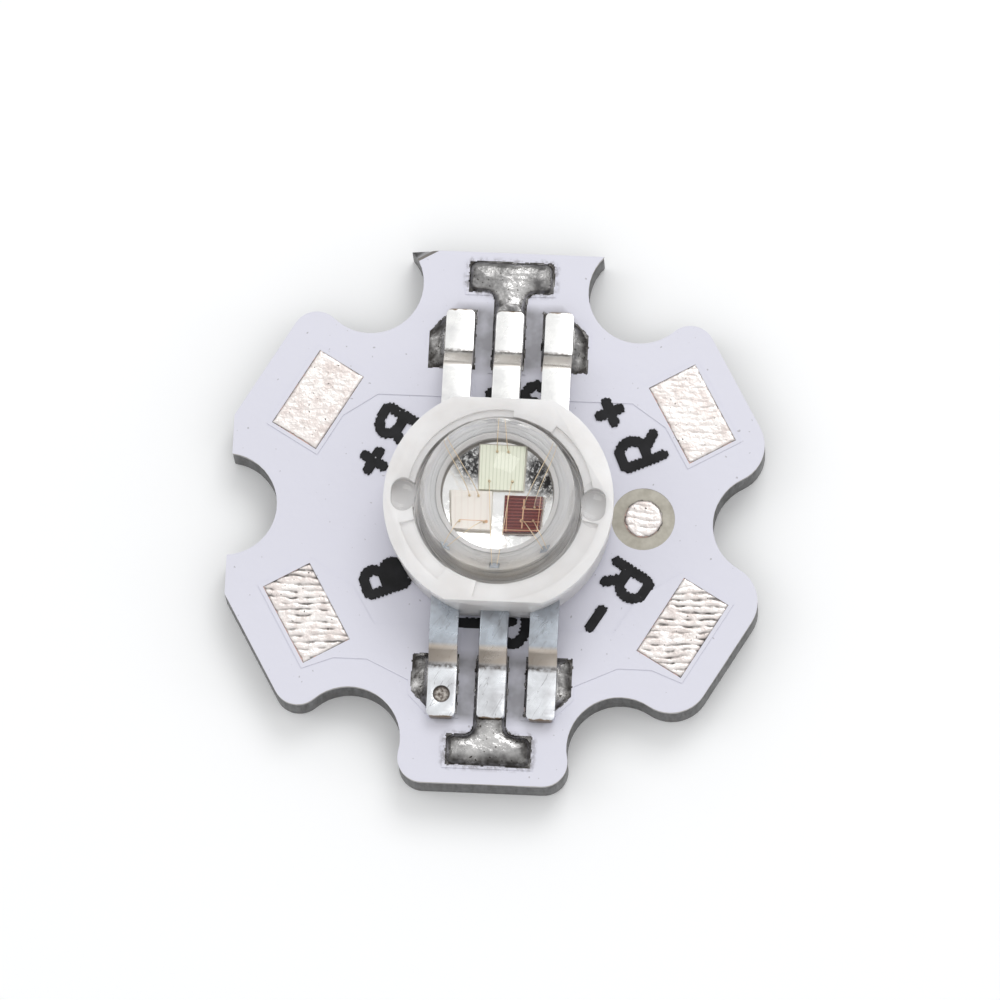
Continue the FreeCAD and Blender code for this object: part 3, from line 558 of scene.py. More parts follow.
def plated_finish():
    """Bright silver-plated lead, with scratches, tarnish clouds, brown sheared ends, and painted
    reflections and shade.
    """
    material, shader, where = patterned("lead_plating", metallic=1.0, roughness=0.24)
    north = split(where)["Y"]
    along = apart(north, EMITTER[1])
    cloud = noise(where, 0.6, 3.0)
    tarnish = stretch(cloud, 0.35, 0.7)
    fresh = blend(tarnish, rgb(255, 255, 253), rgb(228, 228, 228))
    # The minus leads are painted blue-grey and duller than the plus leads: a painted reflection
    # over their tarnish clouds.
    flat_tarnish_and_reflection = blend(tarnish, rgb(190, 198, 207), rgb(158, 162, 168))
    foot_tarnish_and_reflection = blend(tarnish, rgb(238, 241, 245), rgb(200, 201, 204))
    minus_tarnish_and_reflection = blend(stretch(along, *FLAT_TO_FOOT), flat_tarnish_and_reflection, foot_tarnish_and_reflection)
    plus_side = stretch(north, -1.0, 1.0)
    plate = blend(plus_side, minus_tarnish_and_reflection, fresh)
    lines = masked(SCRATCHES, where, turn=0.5, width=0.006, spacing=0.35)
    wear = times(lines, stretch(plus_side, 0.0, 1.0, 0.55, 0.12))
    scratched = blend(wear, plate, rgb(120, 118, 118))
    bend = calc("SUBTRACT", along, times(plus_side, PLUS_LATER))
    slope = stretch(apart(bend, BEND_MIDDLE), 0.22, 0.36, 1.0, 0.0)
    from_crease = apart(bend, BEND_MIDDLE + CREASE_BEYOND)
    # A dark line in the crease over each foot: painted shade.
    crease_patches = stretch(noise(where, 0.15, 3.0), 0.35, 0.6, 0.25, 0.85)
    crease_shade = times(stretch(from_crease, 0.03, 0.12, 1.0, 0.0), crease_patches)
    # The slopes are painted beige: a painted reflection of warm surroundings.
    slope_reflection = times(slope, stretch(plus_side, 0.0, 1.0, 0.6, 0.35))
    painted_bend = blend(slope_reflection, scratched, rgb(208, 190, 168))
    painted_bend = blend(crease_shade, painted_bend, rgb(92, 84, 78))
    ragged = times(noise(where, 0.18, 2.0), 0.12)
    end = stretch(calc("ADD", along, ragged), FOOT_END, FOOT_END + 0.04)
    ended = blend(end, painted_bend, rgb(128, 112, 96))
    pit = spot(where, DIMPLE, 0.27, 0.32)
    gouged = stretch(noise(where, 0.1, 3.0), 0.35, 0.65)
    worn = blend(gouged, rgb(96, 88, 82), rgb(196, 190, 184))
    pitted = blend(pit, ended, worn)
    # A dark ring round the dimple: painted shade on its wall.
    outer = spot(where, DIMPLE, 0.29, 0.33)
    ring = calc("SUBTRACT", outer, spot(where, DIMPLE, 0.2, 0.27), clamp=True)
    drive(shader, base_color=blend(ring, pitted, rgb(84, 77, 72)))
    drive(shader, roughness=stretch(cloud, 0.3, 0.7, 0.24, 0.36))
    grain = add("Mapping", {"Vector": where, "Scale": (1.0, 8.0, 8.0)}).outputs[0]
    bump(shader, noise(grain, 0.8, 3.0), 0.004)
    return material


PLATING = plated_finish()
print("slopes at", BEND_MIDDLE, "and", round(BEND_MIDDLE + PLUS_LATER, 2), "mm from the middle")


# %% [markdown]
# ## Milky moulding
#
# Light enters the housing and comes out softened, so it gets subsurface scattering. The tool
# marks of its turned mould stayed as faint circles round the lens: noise of one dimension, read
# by the distance from the middle. Broken dark arcs along them are painted shade, and the south
# side of the recess is painted beige.

# %% Milky plastic
# The recess round the lens: how far from its middle it begins and ends.
RECESS_FROM, RECESS_TO = 1.95, 3.2


def milky_finish():
    """Frosted white moulding with a faint cloud in it."""
    material, shader, where = patterned(
        "milky_plastic", roughness=0.34, subsurface_weight=0.6, subsurface_scale=0.0009,
        subsurface_radius=(1.0, 0.95, 0.9))
    cloud = stretch(noise(where, 1.4, 2.0), 0.3, 0.7)
    body = blend(cloud, rgb(222, 220, 219), rgb(232, 231, 231))
    axis = (*EMITTER.tolist(), 0.0)
    centred = add("VectorMath", {0: where, 1: axis}, operation="SUBTRACT")
    level = {0: centred.outputs[0], 1: (1.0, 1.0, 0.0)}
    flat = add("VectorMath", level, operation="MULTIPLY")
    out = add("VectorMath", {0: flat.outputs[0]}, operation="LENGTH").outputs["Value"]
    inputs = {"W": times(out, 9.0), "Detail": 3.0}
    rings = add("TexNoise", inputs, noise_dimensions="1D").outputs["Fac"]
    spun = times(rings, stretch(out, 2.9, 3.2, 1.0, 0.0))
    grain = times(noise(where, 0.25, 3.0), 0.12)
    south = split(centred.outputs[0])["Y"]
    begun = stretch(out, RECESS_FROM, RECESS_FROM + 0.1)
    recess = times(begun, stretch(out, RECESS_TO - 0.1, RECESS_TO, 1.0, 0.0))
    broken = stretch(noise(where, 1.3, 3.0), 0.42, 0.55, 0.1, 0.75)
    # Broken dark arcs along the rings of the recess: painted shade.
    shade_arcs = times(times(stretch(rings, 0.54, 0.59), recess), broken)
    # The south side of the recess is painted beige.
    southward = stretch(south, -2.6, -1.2, 0.6, 0.0)
    south_recess = times(southward, stretch(out, 2.5, 3.0, 1.0, 0.0))
    beige_south = blend(south_recess, body, rgb(196, 184, 164))
    drive(shader, base_color=blend(shade_arcs, beige_south, rgb(120, 116, 112)))
    bump(shader, calc("ADD", spun, grain), 0.07)
    return material


MILKY = milky_finish()
print("recess from", RECESS_FROM, "to", RECESS_TO, "mm")


# %% [markdown]
# ## Mirror cup
#
# The chips stand in a silver-plated cup, a soft mirror with dark blotches where the plating is
# thin. Outside its mouth the slug is frosted, with a darker line round the mouth.

# %% Cup of the slug
CUP_MOUTH, MOUTH_LINE = 1.34, 1.4
THIN_LEFT, THIN_RIGHT = (-0.62, 0.86), (1.12, 0.66)


def slug_finish():
    """Silver-plated cup: a soft mirror with darker blotches where the plating is thin."""
    material, shader, where = patterned("silver_plate", metallic=1.0, roughness=0.2)
    left = spot(where, EMITTER + THIN_LEFT, 0.25, 0.6)
    right = spot(where, EMITTER + THIN_RIGHT, 0.4, 0.75)
    thin = calc("MAXIMUM", left, right)
    mottle = noise(where, 0.09, 4.0, 0.7)
    blotch = times(thin, stretch(mottle, 0.3, 0.52), clamp=True)
    mirror = blend(blotch, rgb(255, 255, 254), rgb(46, 45, 46))
    rim = spot(where, EMITTER, CUP_MOUTH, CUP_MOUTH + 0.02)
    outline = spot(where, EMITTER, MOUTH_LINE, MOUTH_LINE + 0.04)
    frosted = blend(outline, rgb(206, 204, 203), rgb(136, 131, 126))
    drive(shader, base_color=blend(rim, frosted, mirror))
    drive(shader, metallic=rim)
    bump(shader, noise(where, 0.3, 2.0), 0.02)
    return material


SILVER = slug_finish()
print("mouth of the cup", 2 * CUP_MOUTH, "mm across")


# %% [markdown]
# ## Chips
#
# The chips are small bright tiles crossed by fine electrode lines. Gold strips and bond pads are
# a few hundredths of a millimetre wide, so they are masks and not pieces.

# %% Faces of the chips
def bar(parts, centre, run):
    """1 inside an upright or level bar from one corner of run to the other."""
    inside = []
    for axis, middle_of_axis, low, high in zip("XY", centre, run[:2], run[2:]):
        at = calc("SUBTRACT", parts[axis], middle_of_axis)
        off = apart(at, (low + high) / 2)
        inside.append(calc("LESS_THAN", off, (high - low) / 2))
    return times(*inside)


def chip_finish(name, body, line, spacing, upright, strength, bars=(), bonds=()):
    """A chip's face: its own colour, crossed by fine electrode lines a spacing apart.

    Bars are gold strips, each (low x, low y, high x, high y) from the chip's middle, and
    bonds are the middles of round gold pads.
    """
    material, shader, where = patterned(name, roughness=0.25, specular_ior_level=0.6)
    parts = split(where)
    run = parts["X" if upright else "Y"]
    phase = calc("FRACT", calc("DIVIDE", run, spacing))
    stripe = calc("GREATER_THAN", phase, 0.72)
    cloud = stretch(noise(where, 0.3, 2.0), 0.3, 0.7, 0.7, 1.0)
    mask = times(times(stripe, cloud), strength)
    colour = blend(mask, body, line)
    centre = middle(name)
    gold = 0.0
    for strip in bars:
        gold = calc("MAXIMUM", gold, bar(parts, centre, strip))
    for right, up in bonds:
        pad = spot(where, centre[:2] + (right, up), 0.04, 0.05)
        gold = calc("MAXIMUM", gold, pad)
    if bars or bonds:
        colour = blend(gold, colour, rgb(216, 172, 136))
    drive(shader, base_color=colour)
    return material


# Gold strips, as low and high corners from the middle of the chip, and middles of bond pads.
BLUE_STRIPS = [(-0.3, -0.27, 0.38, -0.25)]
BLUE_PADS = [(0.38, -0.28)]
RED_STRIPS = [
    (-0.012, -0.38, 0.018, 0.39), (-0.41, -0.475, -0.39, 0.475), (0.41, -0.475, 0.425, 0.475),
    (-0.475, -0.44, 0.475, -0.42), (0.0, 0.135, 0.475, 0.155), (0.0, -0.2, 0.475, -0.185)]
RED_PADS = [(0.01, 0.17), (-0.02, -0.17)]

GREEN = chip_finish("green_chip", rgb(238, 241, 222), rgb(190, 196, 168), 0.09, True, 0.5)
BLUE = chip_finish("blue_chip", rgb(242, 236, 228), rgb(222, 204, 194), 0.16, True, 0.2,
                   bars=BLUE_STRIPS, bonds=BLUE_PADS)
RED = chip_finish("red_chip", rgb(80, 12, 12), rgb(172, 88, 74), 0.085, False, 0.55,
                  bars=RED_STRIPS, bonds=RED_PADS)
ATTACH = finish("die_attach", metallic=0.6, base_color=rgb(206, 200, 190), roughness=0.45)[0]
GOLD = finish("gold", metallic=1.0, base_color=rgb(236, 216, 184), roughness=0.4)[0]
print("chips:", GREEN.name, BLUE.name, RED.name)


# %% [markdown]
# ## Clear things
#
# Light bends at the outside of the lens alone: inside, lens and silicone have nearly the same
# index, so their shared faces are fully transparent. A shadow ray passes the dome as if it
# weren't there, so that the lamps light the cup through the glass.

# %% Glass and what touches it
def glass_finish(name, ior):
    """Clear moulding that bends light for the eye and lets lamp light through."""
    material, shader = finish(name, ior=ior, roughness=0.0, transmission_weight=1.0)
    tree = material.node_tree
    clear = add("BsdfTransparent", tree=tree)
    lamp_light = add("LightPath", tree=tree).outputs["Is Shadow Ray"]
    mix = add("MixShader", {0: lamp_light, 1: shader.outputs[0], 2: clear.outputs[0]})
    tree.links.new(mix.outputs[0], tree.nodes["Material Output"].inputs["Surface"])
    return material


def unseen_finish(name):
    """A face between two clear solids of one index: light goes straight through."""
    material, shader = finish(name)
    tree = material.node_tree
    tree.nodes.remove(shader)
    clear = add("BsdfTransparent", tree=tree)
    tree.links.new(clear.outputs[0], tree.nodes["Material Output"].inputs["Surface"])
    return material


CLEAR_INDEX = 1.42
CLEAR_LENS = glass_finish("clear_lens", CLEAR_INDEX)
GEL = glass_finish("clear_silicone", CLEAR_INDEX)
TOUCHING = unseen_finish("touching_faces")
print("clear finishes:", CLEAR_LENS.name, GEL.name, TOUCHING.name)


# %% [markdown]
# ## Give the frame its finishes
#
# Nodes whose shape is already right keep their mesh and only get a better material.

# %% Paint the nodes that stay
COLOURS = ("blue", "green", "red")
painted = []


def paint(node, material):
    """Puts one material in every slot of a node."""
    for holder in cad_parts[node].material_slots:
        holder.material = material
    painted.append(node)


for name, node_finish in {
    "dielectric_sheet": DIELECTRIC, "solder_mask": WHITE_LACQUER, "heat_pad": TIN,
    "fiducial_dot": COPPER, "thermal_compound": COMPOUND, "heat_slug": SILVER,
    "green_chip": GREEN, "blue_chip": BLUE, "red_chip": RED,
}.items():
    paint(name, node_finish)
for colour in COLOURS:
    paint(f"{colour}_die_attach", ATTACH)
    for sign in ("plus", "minus"):
        paint(f"{colour}_{sign}_track", COPPER)
print("painted nodes:", len(painted))


# %% [markdown]
# ## Softened edges
#
# Sheared metal and mouldings have no knife edge. A copy of the node is merged into one skin and
# its flat faces are joined; a Bevel modifier then rounds whatever is sharper than an angle, and
# the copy stands for the node.

# %% Rounded copies
SHARP = math.radians(32.0)


def rounded_copy(node, width, segments, material):
    """A closed copy of a CAD node with rounded edges, in place of the node."""
    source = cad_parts[node]
    mesh = source.data.copy()
    mesh.name = f"{node}_rounded"
    skin = bmesh.new()
    skin.from_mesh(mesh)
    bmesh.ops.remove_doubles(skin, verts=skin.verts, dist=0.002 * MM)
    bmesh.ops.dissolve_limit(skin, angle_limit=math.radians(0.5), verts=skin.verts,
                             edges=skin.edges)
    bmesh.ops.recalc_face_normals(skin, faces=skin.faces)
    skin.to_mesh(mesh)
    skin.free()
    mesh.materials.clear()
    mesh.materials.append(material)
    mesh.shade_smooth()
    piece = bpy.data.objects.new(f"{node}_rounded", mesh)
    bpy.context.collection.objects.link(piece)
    bevel = piece.modifiers.new("soft edges", "BEVEL")
    bevel.width = width * MM
    bevel.segments = segments
    bevel.limit_method = "ANGLE"
    bevel.angle_limit = SHARP
    bevel.harden_normals = True
    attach(piece, "root")
    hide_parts(node)


for colour in COLOURS:
    for sign in ("plus", "minus"):
        rounded_copy(f"{colour}_{sign}_lead", 0.05, 3, PLATING)
rounded_copy("housing", 0.035, 2, MILKY)
rounded_copy("aluminium_base", 0.05, 2, ALUMINIUM)


# %% [markdown]
# ## A solid of revolution
#
# A lens is round, so its skin is one profile turned about an axis. The Screw modifier could do
# it; arrays give the same rings and close the two poles with fans.

# %% Turn a profile
def ring_skin(rings, sides):
    """Numbers of the points of a stack of rings, and the faces between one ring and the next."""
    number = np.arange(rings * sides).reshape(rings, sides)
    after = np.roll(number, -1, axis=1)
    skin = np.stack([number[:-1], after[:-1], after[1:], number[1:]], axis=-1)
    return number, after, skin.reshape(-1, 4)


def turned(profile, centre, sides):
    """Points and faces of a solid of revolution whose profile starts and ends on the axis.

    A ring of radius r has its points at centre + (r * cos a, r * sin a).
    """
    profile = np.asarray(profile, float)
    angle = np.linspace(0, 2 * np.pi, sides, endpoint=False)
    rings = profile[1:-1]
    x = centre[0] + rings[:, :1] * np.cos(angle)
    y = centre[1] + rings[:, :1] * np.sin(angle)
    z = np.broadcast_to(rings[:, 1:2], x.shape)
    points = np.stack([x, y, z], axis=-1).reshape(-1, 3)
    number, after, skin = ring_skin(len(rings), sides)
    first, last = len(points), len(points) + 1
    poles = [[centre[0], centre[1], profile[0, 1]], [centre[0], centre[1], profile[-1, 1]]]
    low = np.stack([after[0], number[0], np.full(sides, first)], axis=-1)
    high = np.stack([number[-1], after[-1], np.full(sides, last)], axis=-1)
    return np.concatenate([points, poles]), skin.tolist() + low.tolist() + high.tolist()


cone = turned([(0, 0), (1, 0), (0, 1)], (0, 0), 8)
print("a cone of eight sides has", len(cone[0]), "points")


# %% [markdown]
# ## The lens
#
# The lens is moulded with a flange: a short round wall under half a ball. Turned in 160 steps,
# the bent picture of the chips stays smooth. Its hollow is filled with silicone, so it needs no
# skin.

# %% Turn the lens
LENS_LOW = lowest("lens")
LENS_HIGH = highest("lens")
BALL_RADIUS = 2.8
BALL_MIDDLE = LENS_HIGH[2] - BALL_RADIUS
FLANGE_RADIUS = (LENS_HIGH[0] - LENS_LOW[0]) / 2
FLANGE_TOP = LENS_LOW[2] + 0.2
LENS_FLOOR = LENS_LOW[2] + 0.02
EASE = 0.05

# The moulded groove between flange and wall: radii, and depths under the flange's top.
GROOVE = ((2.94, 0.0), (2.9, 0.06), (2.84, 0.07))


def lens_profile():
    """Radius and height from the middle of the underside out to the rim and up to the pole.

    A straight wall stands on the flange, and r = R * cos a, z = middle + R * sin a above it.
    """
    rim = np.linspace(-np.pi / 2, np.pi / 2, 9)
    low_edge = [(FLANGE_RADIUS - EASE + EASE * math.cos(a), LENS_FLOOR + EASE + EASE * math.sin(a))
                for a in rim[:5]]
    top_edge = [(FLANGE_RADIUS - EASE + EASE * math.cos(a), FLANGE_TOP - EASE + EASE * math.sin(a))
                for a in rim[4:]]
    groove = [(radius, FLANGE_TOP - depth) for radius, depth in GROOVE]
    wall = np.linspace(FLANGE_TOP - 0.03, BALL_MIDDLE, 8)[:-1]
    column = np.column_stack([np.full(len(wall), BALL_RADIUS), wall])
    dome = np.linspace(0.0, np.pi / 2, 56)
    ball = np.column_stack([BALL_RADIUS * np.cos(dome), BALL_MIDDLE + BALL_RADIUS * np.sin(dome)])
    inner = [(0.0, LENS_FLOOR), (1.5, LENS_FLOOR), (2.4, LENS_FLOOR)]
    return np.array(inner + low_edge + top_edge + groove + column.tolist() + ball.tolist())


lens_points, lens_faces = turned(lens_profile(), EMITTER, 160)
lens = add_piece("lens_turned", lens_points, lens_faces, [CLEAR_LENS, TOUCHING],
                 ("lens", "silicone_fill"))
below = np.array([face.center.z for face in lens.data.polygons]) < (LENS_FLOOR + 0.001) * MM
lens.data.polygons.foreach_set("material_index", below.astype(np.int32))
lens.data.update()
print("dome", round(BALL_RADIUS, 2), "mm, flange", round(float(FLANGE_RADIUS), 2), "mm")


# %% [markdown]
# ## Hot-air tin
#
# The wire pads were dipped in molten solder and blown flat, which leaves ripples. Each coat is a
# puddle whose height grows from its edge and carries stretched lumps. The pads of the lower arms
# froze in strong ripples.

# %% Tin on the pads
PAD_RADIAL, PAD_TANGENT, PAD_TURN = 1.9, 3.2, math.radians(30.0)

# The spacing of the ripples, the coat's depth, how far in it is round, and its points' spacing.
RIPPLE_SPACING, COAT, TIN_EDGE, TIN_STEP = 0.24, 0.042, 0.1, 0.03


def tinned(node, distance, x, y, ripple, seed):
    """A crowned coat: floor + sqrt(distance / edge) * (coat - ripples + lumps)."""
    phase = (y + 0.1 * lumps(x, y, 0.8, seed) + 0.03 * lumps(x, y, 0.2, seed + 1)) / RIPPLE_SPACING
    groove = np.exp(-(((phase - np.round(phase)) / 0.17) ** 2))
    groove = groove * np.clip(0.65 + 1.1 * lumps(x * 0.7, y, 0.2, seed + 4), 0, 1)
    soft = lumps(x, y, 0.35, seed + 2)
    crown = np.sqrt(np.clip(distance / TIN_EDGE, 0, 1))
    top = COPPER_TOP + crown * (COAT - ripple * groove + 0.006 * soft)
    inside = (distance + 0.03 * lumps(x, y, 0.12, seed + 3))[:-1, :-1] > 0.0
    points, faces = puddle(x, y, np.maximum(top, COPPER_TOP + 0.004), COPPER_TOP, inside)
    piece = add_piece(f"{node}_coat", points, faces, [TIN], (node,))
    # Darker where the coat lies low, in its ripple grooves and along its edge: painted shade.
    mark_rim(piece, np.clip((COPPER_TOP + 0.034 - points[:, 2]) / 0.024, 0, 1))


def pad_coat(node, ripple, seed):
    """The coat of a wire pad: a rectangle that faces its arm of the star."""
    centre = middle(node)[:2]
    right, up = np.sign(centre - ARTWORK)
    turn = right * up * PAD_TURN
    x, y = flat_grid(lowest(node)[:2] - 0.05, highest(node)[:2] + 0.05, TIN_STEP)
    out = (x - centre[0]) * math.cos(turn) + (y - centre[1]) * math.sin(turn)
    along = (y - centre[1]) * math.cos(turn) - (x - centre[0]) * math.sin(turn)
    distance = np.minimum(PAD_RADIAL / 2 - np.abs(out), PAD_TANGENT / 2 - np.abs(along))
    tinned(node, distance, x, y, ripple, seed)


pad_coat("blue_plus_pad_tin", 0.005, 11)
pad_coat("red_plus_pad_tin", 0.012, 21)
pad_coat("blue_minus_pad_tin", 0.037, 31)
pad_coat("red_minus_pad_tin", 0.04, 41)


# %% [markdown]
# The aiming dot of the placing machine was tinned in the same bath, so its coat is the same
# puddle with a round edge.

# %% Tin on the aiming dot
dot_low, dot_high = lowest("fiducial_tin"), highest("fiducial_tin")
dot_x, dot_y = flat_grid(dot_low[:2] - 0.05, dot_high[:2] + 0.05, TIN_STEP)
dot_middle = middle("fiducial_tin")
dot_radius = (dot_high - dot_low)[0] / 2
from_middle = np.hypot(dot_x - dot_middle[0], dot_y - dot_middle[1])
tinned("fiducial_tin", dot_radius - from_middle, dot_x, dot_y, 0.02, 51)


# %% [markdown]
# ## Lands
#
# Solder takes the outline of the bare copper land under it: four oblongs with one bevelled
# corner, and a T in the middle of each side. How far a point lies inside its outline decides how
# high the solder stands there.

# %% Outlines of the lands
LAND_BEVEL, STEM_HALF, WEB = 0.8, 0.55, 0.34


def run_distance(x, y, a, b):
    """Distance to the straight run a-b: |p - a - t * (b - a)|, with t held between 0 and 1."""
    run, rise = b[0] - a[0], b[1] - a[1]
    share = np.clip(((x - a[0]) * run + (y - a[1]) * rise) / (run**2 + rise**2), 0, 1)
    return np.hypot(x - a[0] - share * run, y - a[1] - share * rise)


def inside_distance(x, y, corners):
    """How far each point lies inside a straight-sided outline; negative outside.

    The sign comes from counting the sides that a ray to the right crosses.
    """
    nearest = np.full(x.shape, np.inf)
    crossings = np.zeros(x.shape, bool)
    for a, b in zip(corners, corners[1:] + corners[:1]):
        nearest = np.minimum(nearest, run_distance(x, y, a, b))
        if b[1] != a[1]:
            crossing = a[0] + (y - a[1]) / (b[1] - a[1]) * (b[0] - a[0])
            crossings ^= ((a[1] > y) != (b[1] > y)) & (x < crossing)
    return np.where(crossings, nearest, -nearest)


def rounded_corners(corners, cut):
    """Each corner gives way to two points, a cut away from it along its two sides."""
    here = np.array(corners, float)
    before = np.roll(here, 1, axis=0) - here
    after = np.roll(here, -1, axis=0) - here
    back = here + before * np.minimum(cut / np.linalg.norm(before, axis=1), 0.4)[:, None]
    ahead = here + after * np.minimum(cut / np.linalg.norm(after, axis=1), 0.4)[:, None]
    return [tuple(point) for point in np.stack([back, ahead], axis=1).reshape(-1, 2)]


def land_outline(node):
    """Corners of a joint's land, from the box of its solder node."""
    low, high = lowest(node), highest(node)
    up = np.sign(middle(node)[1] - ARTWORK[1])
    near, far = (low[1], high[1]) if up > 0 else (high[1], low[1])
    if node.startswith("green"):
        centre, half = ARTWORK[0], (high[0] - low[0]) / 2
        inner_side = far - up * BAR_DEPTH
        hollow = (STEM_HALF + WEB * 0.3, inner_side - up * WEB * 0.3)
        right = [(STEM_HALF, near), (STEM_HALF, inner_side - up * WEB), hollow,
                 (STEM_HALF + WEB, inner_side), (half, inner_side), (half, far)]
        side = [(centre + x, y) for x, y in right]
        return side + [(centre - x, y) for x, y in reversed(right)]
    right = np.sign(middle(node)[0] - ARTWORK[0])
    inner, outer = (low[0], high[0]) if right > 0 else (high[0], low[0])
    return [(inner, near), (outer, near), (outer, far - up * LAND_BEVEL),
            (outer - right * LAND_BEVEL, far), (inner, far)]


print("corners of a T:", len(land_outline("green_plus_solder")))


# %% [markdown]
# ## Hand-made joints
#
# Solder fills a land and climbs the foot that stands in it. From the land's edge it rises like a
# drop, and towards the foot like a fillet. Near the rim it is painted dark, burnt flux together
# with painted shade, so a point attribute tells how near the rim is.

# %% Solder as height fields
# Burnt flux, painted dark together with the shade round a joint, spills a little past a land, in
# a film that just covers the lacquer.
HALO = 0.04
THIN = TRACK_TOP + 0.006 - COPPER_TOP

# How far from the emitter's middle the foot of a lead lies level.
LEVEL_FROM = {"plus": 5.95, "minus": 5.65}

# How far in a joint is round at its edge, how high it may stand, and the fillet at the foot.
DROP, TALLEST, FILLET, FILLET_REACH = BAR_DEPTH / 2, 0.38, 0.3, 0.18

# Two cuts that round the corners of a land, and the spacing of the points.
FIRST_CUT, SECOND_CUT, SOLDER_STEP = 0.16, 0.06, 0.035

# Each joint: its crown, how far in the dark flux and painted shade reach, and its seed.
JOINTS = {
    ("blue", "plus"): (0.12, 0.75, 61),
    ("green", "plus"): (0.32, 0.12, 64),
    ("red", "plus"): (0.16, 0.32, 67),
    ("blue", "minus"): (0.12, 0.75, 71),
    ("green", "minus"): (0.34, 0.38, 74),
    ("red", "minus"): (0.16, 0.24, 77),
}


def foot_distance(x, y, lead, start):
    """Distance outside the foot of a lead, from the place where it levels to its end."""
    low, high = lowest(lead), highest(lead)
    up = np.sign(middle(lead)[1] - EMITTER[1])
    near = EMITTER[1] + up * start
    far = high[1] if up > 0 else low[1]
    aside = np.maximum(np.maximum(low[0] - x, x - high[0]), 0)
    beyond = np.maximum(np.maximum((near - y) * up, (y - far) * up), 0)
    return np.hypot(aside, beyond)


def joint(colour, sign, crown, burn, seed):
    """One solder joint: crown * sqrt(1 - (1 - e)^2) + fillet * exp(-f / reach) + lumps.

    Here e is the share of the way in from the edge and f the distance from the foot. The
    burn is how far in from the rim the dark flux and painted shade reach.
    """
    node, lead = f"{colour}_{sign}_solder", f"{colour}_{sign}_lead"
    land = rounded_corners(rounded_corners(land_outline(node), FIRST_CUT), SECOND_CUT)
    x, y = flat_grid(lowest(node)[:2] - 0.2, highest(node)[:2] + 0.2, SOLDER_STEP)
    distance = inside_distance(x, y, land) + 0.025 * lumps(x, y, 0.3, seed)
    foot = foot_distance(x, y, lead, LEVEL_FROM[sign])
    edge = np.sqrt(1 - (1 - np.clip(distance / DROP, 0, 1)) ** 2)
    fillet = FILLET * np.exp(-foot / FILLET_REACH) * np.clip(distance / 0.15, 0, 1)
    rough = 0.02 * lumps(x, y, 0.28, seed + 1) + 0.01 * lumps(x, y, 0.12, seed + 2)
    height = np.clip(crown * edge + fillet + rough * edge, THIN, TALLEST)
    height = np.where(foot <= 0, np.minimum(height, FILLET), height)
    halo = distance + HALO + 0.03 * lumps(x, y, 0.3, seed + 3)
    ragged = 0.04 + 0.035 * lumps(x, y, 0.14, seed + 4)
    cover = np.maximum(halo, inside_distance(x, y, land_outline(node)) + ragged)
    inside = cover[:-1, :-1] > 0
    points, faces = puddle(x, y, COPPER_TOP + height, COPPER_TOP, inside)
    piece = add_piece(f"{node}_joint", points, faces, [SOLDER], (node,))
    # Dark towards the rim: burnt flux together with painted shade round the joint.
    rim = inside_distance(points[:, 0], points[:, 1], land)
    mark_rim(piece, 1 - np.clip(rim / burn, 0, 1) ** 1.5)


for (colour, sign), (crown, burn, seed) in JOINTS.items():
    joint(colour, sign, crown, burn, seed)


# %% [markdown]
# ## Letters
#
# A letter is a pen's path: straight strokes and bowls of one width. A font would bring its own
# shapes, so each letter is written as paths in a unit square, and ink lies wherever a point is
# nearer to a path than half a stroke.

# %% Letters from strokes
LETTER_WIDTH, LETTER_HEIGHT, STROKE = 0.96, 1.46, 0.37


def bowl(x, y, width, height, first=90.0, last=-90.0):
    """Points of an arc about (x, y), in shares of the letter's width and height."""
    turn = np.radians(np.linspace(first, last, 11))
    return list(zip(x + width * np.cos(turn), y + height * np.sin(turn)))


GLYPHS = {
    "R": [[(0.0, 0.0), (0.0, 0.9), (0.12, 1.0)] + bowl(0.5, 0.68, 0.45, 0.32) + [(0.0, 0.36)],
          [(0.45, 0.36), (0.9, 0.03)]],
    "B": [[(0.0, 0.08), (0.0, 0.92), (0.1, 1.0)] + bowl(0.5, 0.75, 0.4, 0.25) + [(0.0, 0.5)],
          [(0.4, 0.5)] + bowl(0.5, 0.25, 0.46, 0.25) + [(0.1, 0.0), (0.0, 0.08)]],
    "G": [bowl(0.5, 0.5, 0.5, 0.5, 50.0, 360.0) + [(1.0, 0.42), (0.55, 0.42)]],
    "+": [[(0.1, 0.5), (0.9, 0.5)], [(0.5, 0.24), (0.5, 0.76)]],
    "-": [[(0.1, 0.5), (0.9, 0.5)]],
}
print("letters and signs:", *GLYPHS)


# %% [markdown]
# ## Printed marks
#
# The polarity letters are screen printed, with edges that the weave of the screen leaves ragged.
# As thin puddles they keep a crisp edge that a painted mask would lose.

# %% Ink on the lacquer
INK_TOP, INK_STEP = TRACK_TOP + 0.01, 0.03

# Each mark: its glyph, the place of its middle and its turn in degrees.
MARKS = [
    ("R", (5.14, 2.59), 114.0), ("+", (4.01, 3.96), 114.0), ("R", (4.88, -2.34), -121.0),
    ("-", (3.84, -3.70), -121.0), ("B", (-3.64, 3.12), -119.4), ("+", (-4.48, 1.84), -119.4),
    ("B", (-3.87, -2.50), 112.0), ("+", (0.01, 4.52), 180.0), ("G", (1.29, 4.16), 180.0),
    ("G", (0.88, -4.06), 180.0), ("-", (-0.68, -4.07), 180.0)]

# The mark whose lower bowl the ink has filled.
FILLED = 7


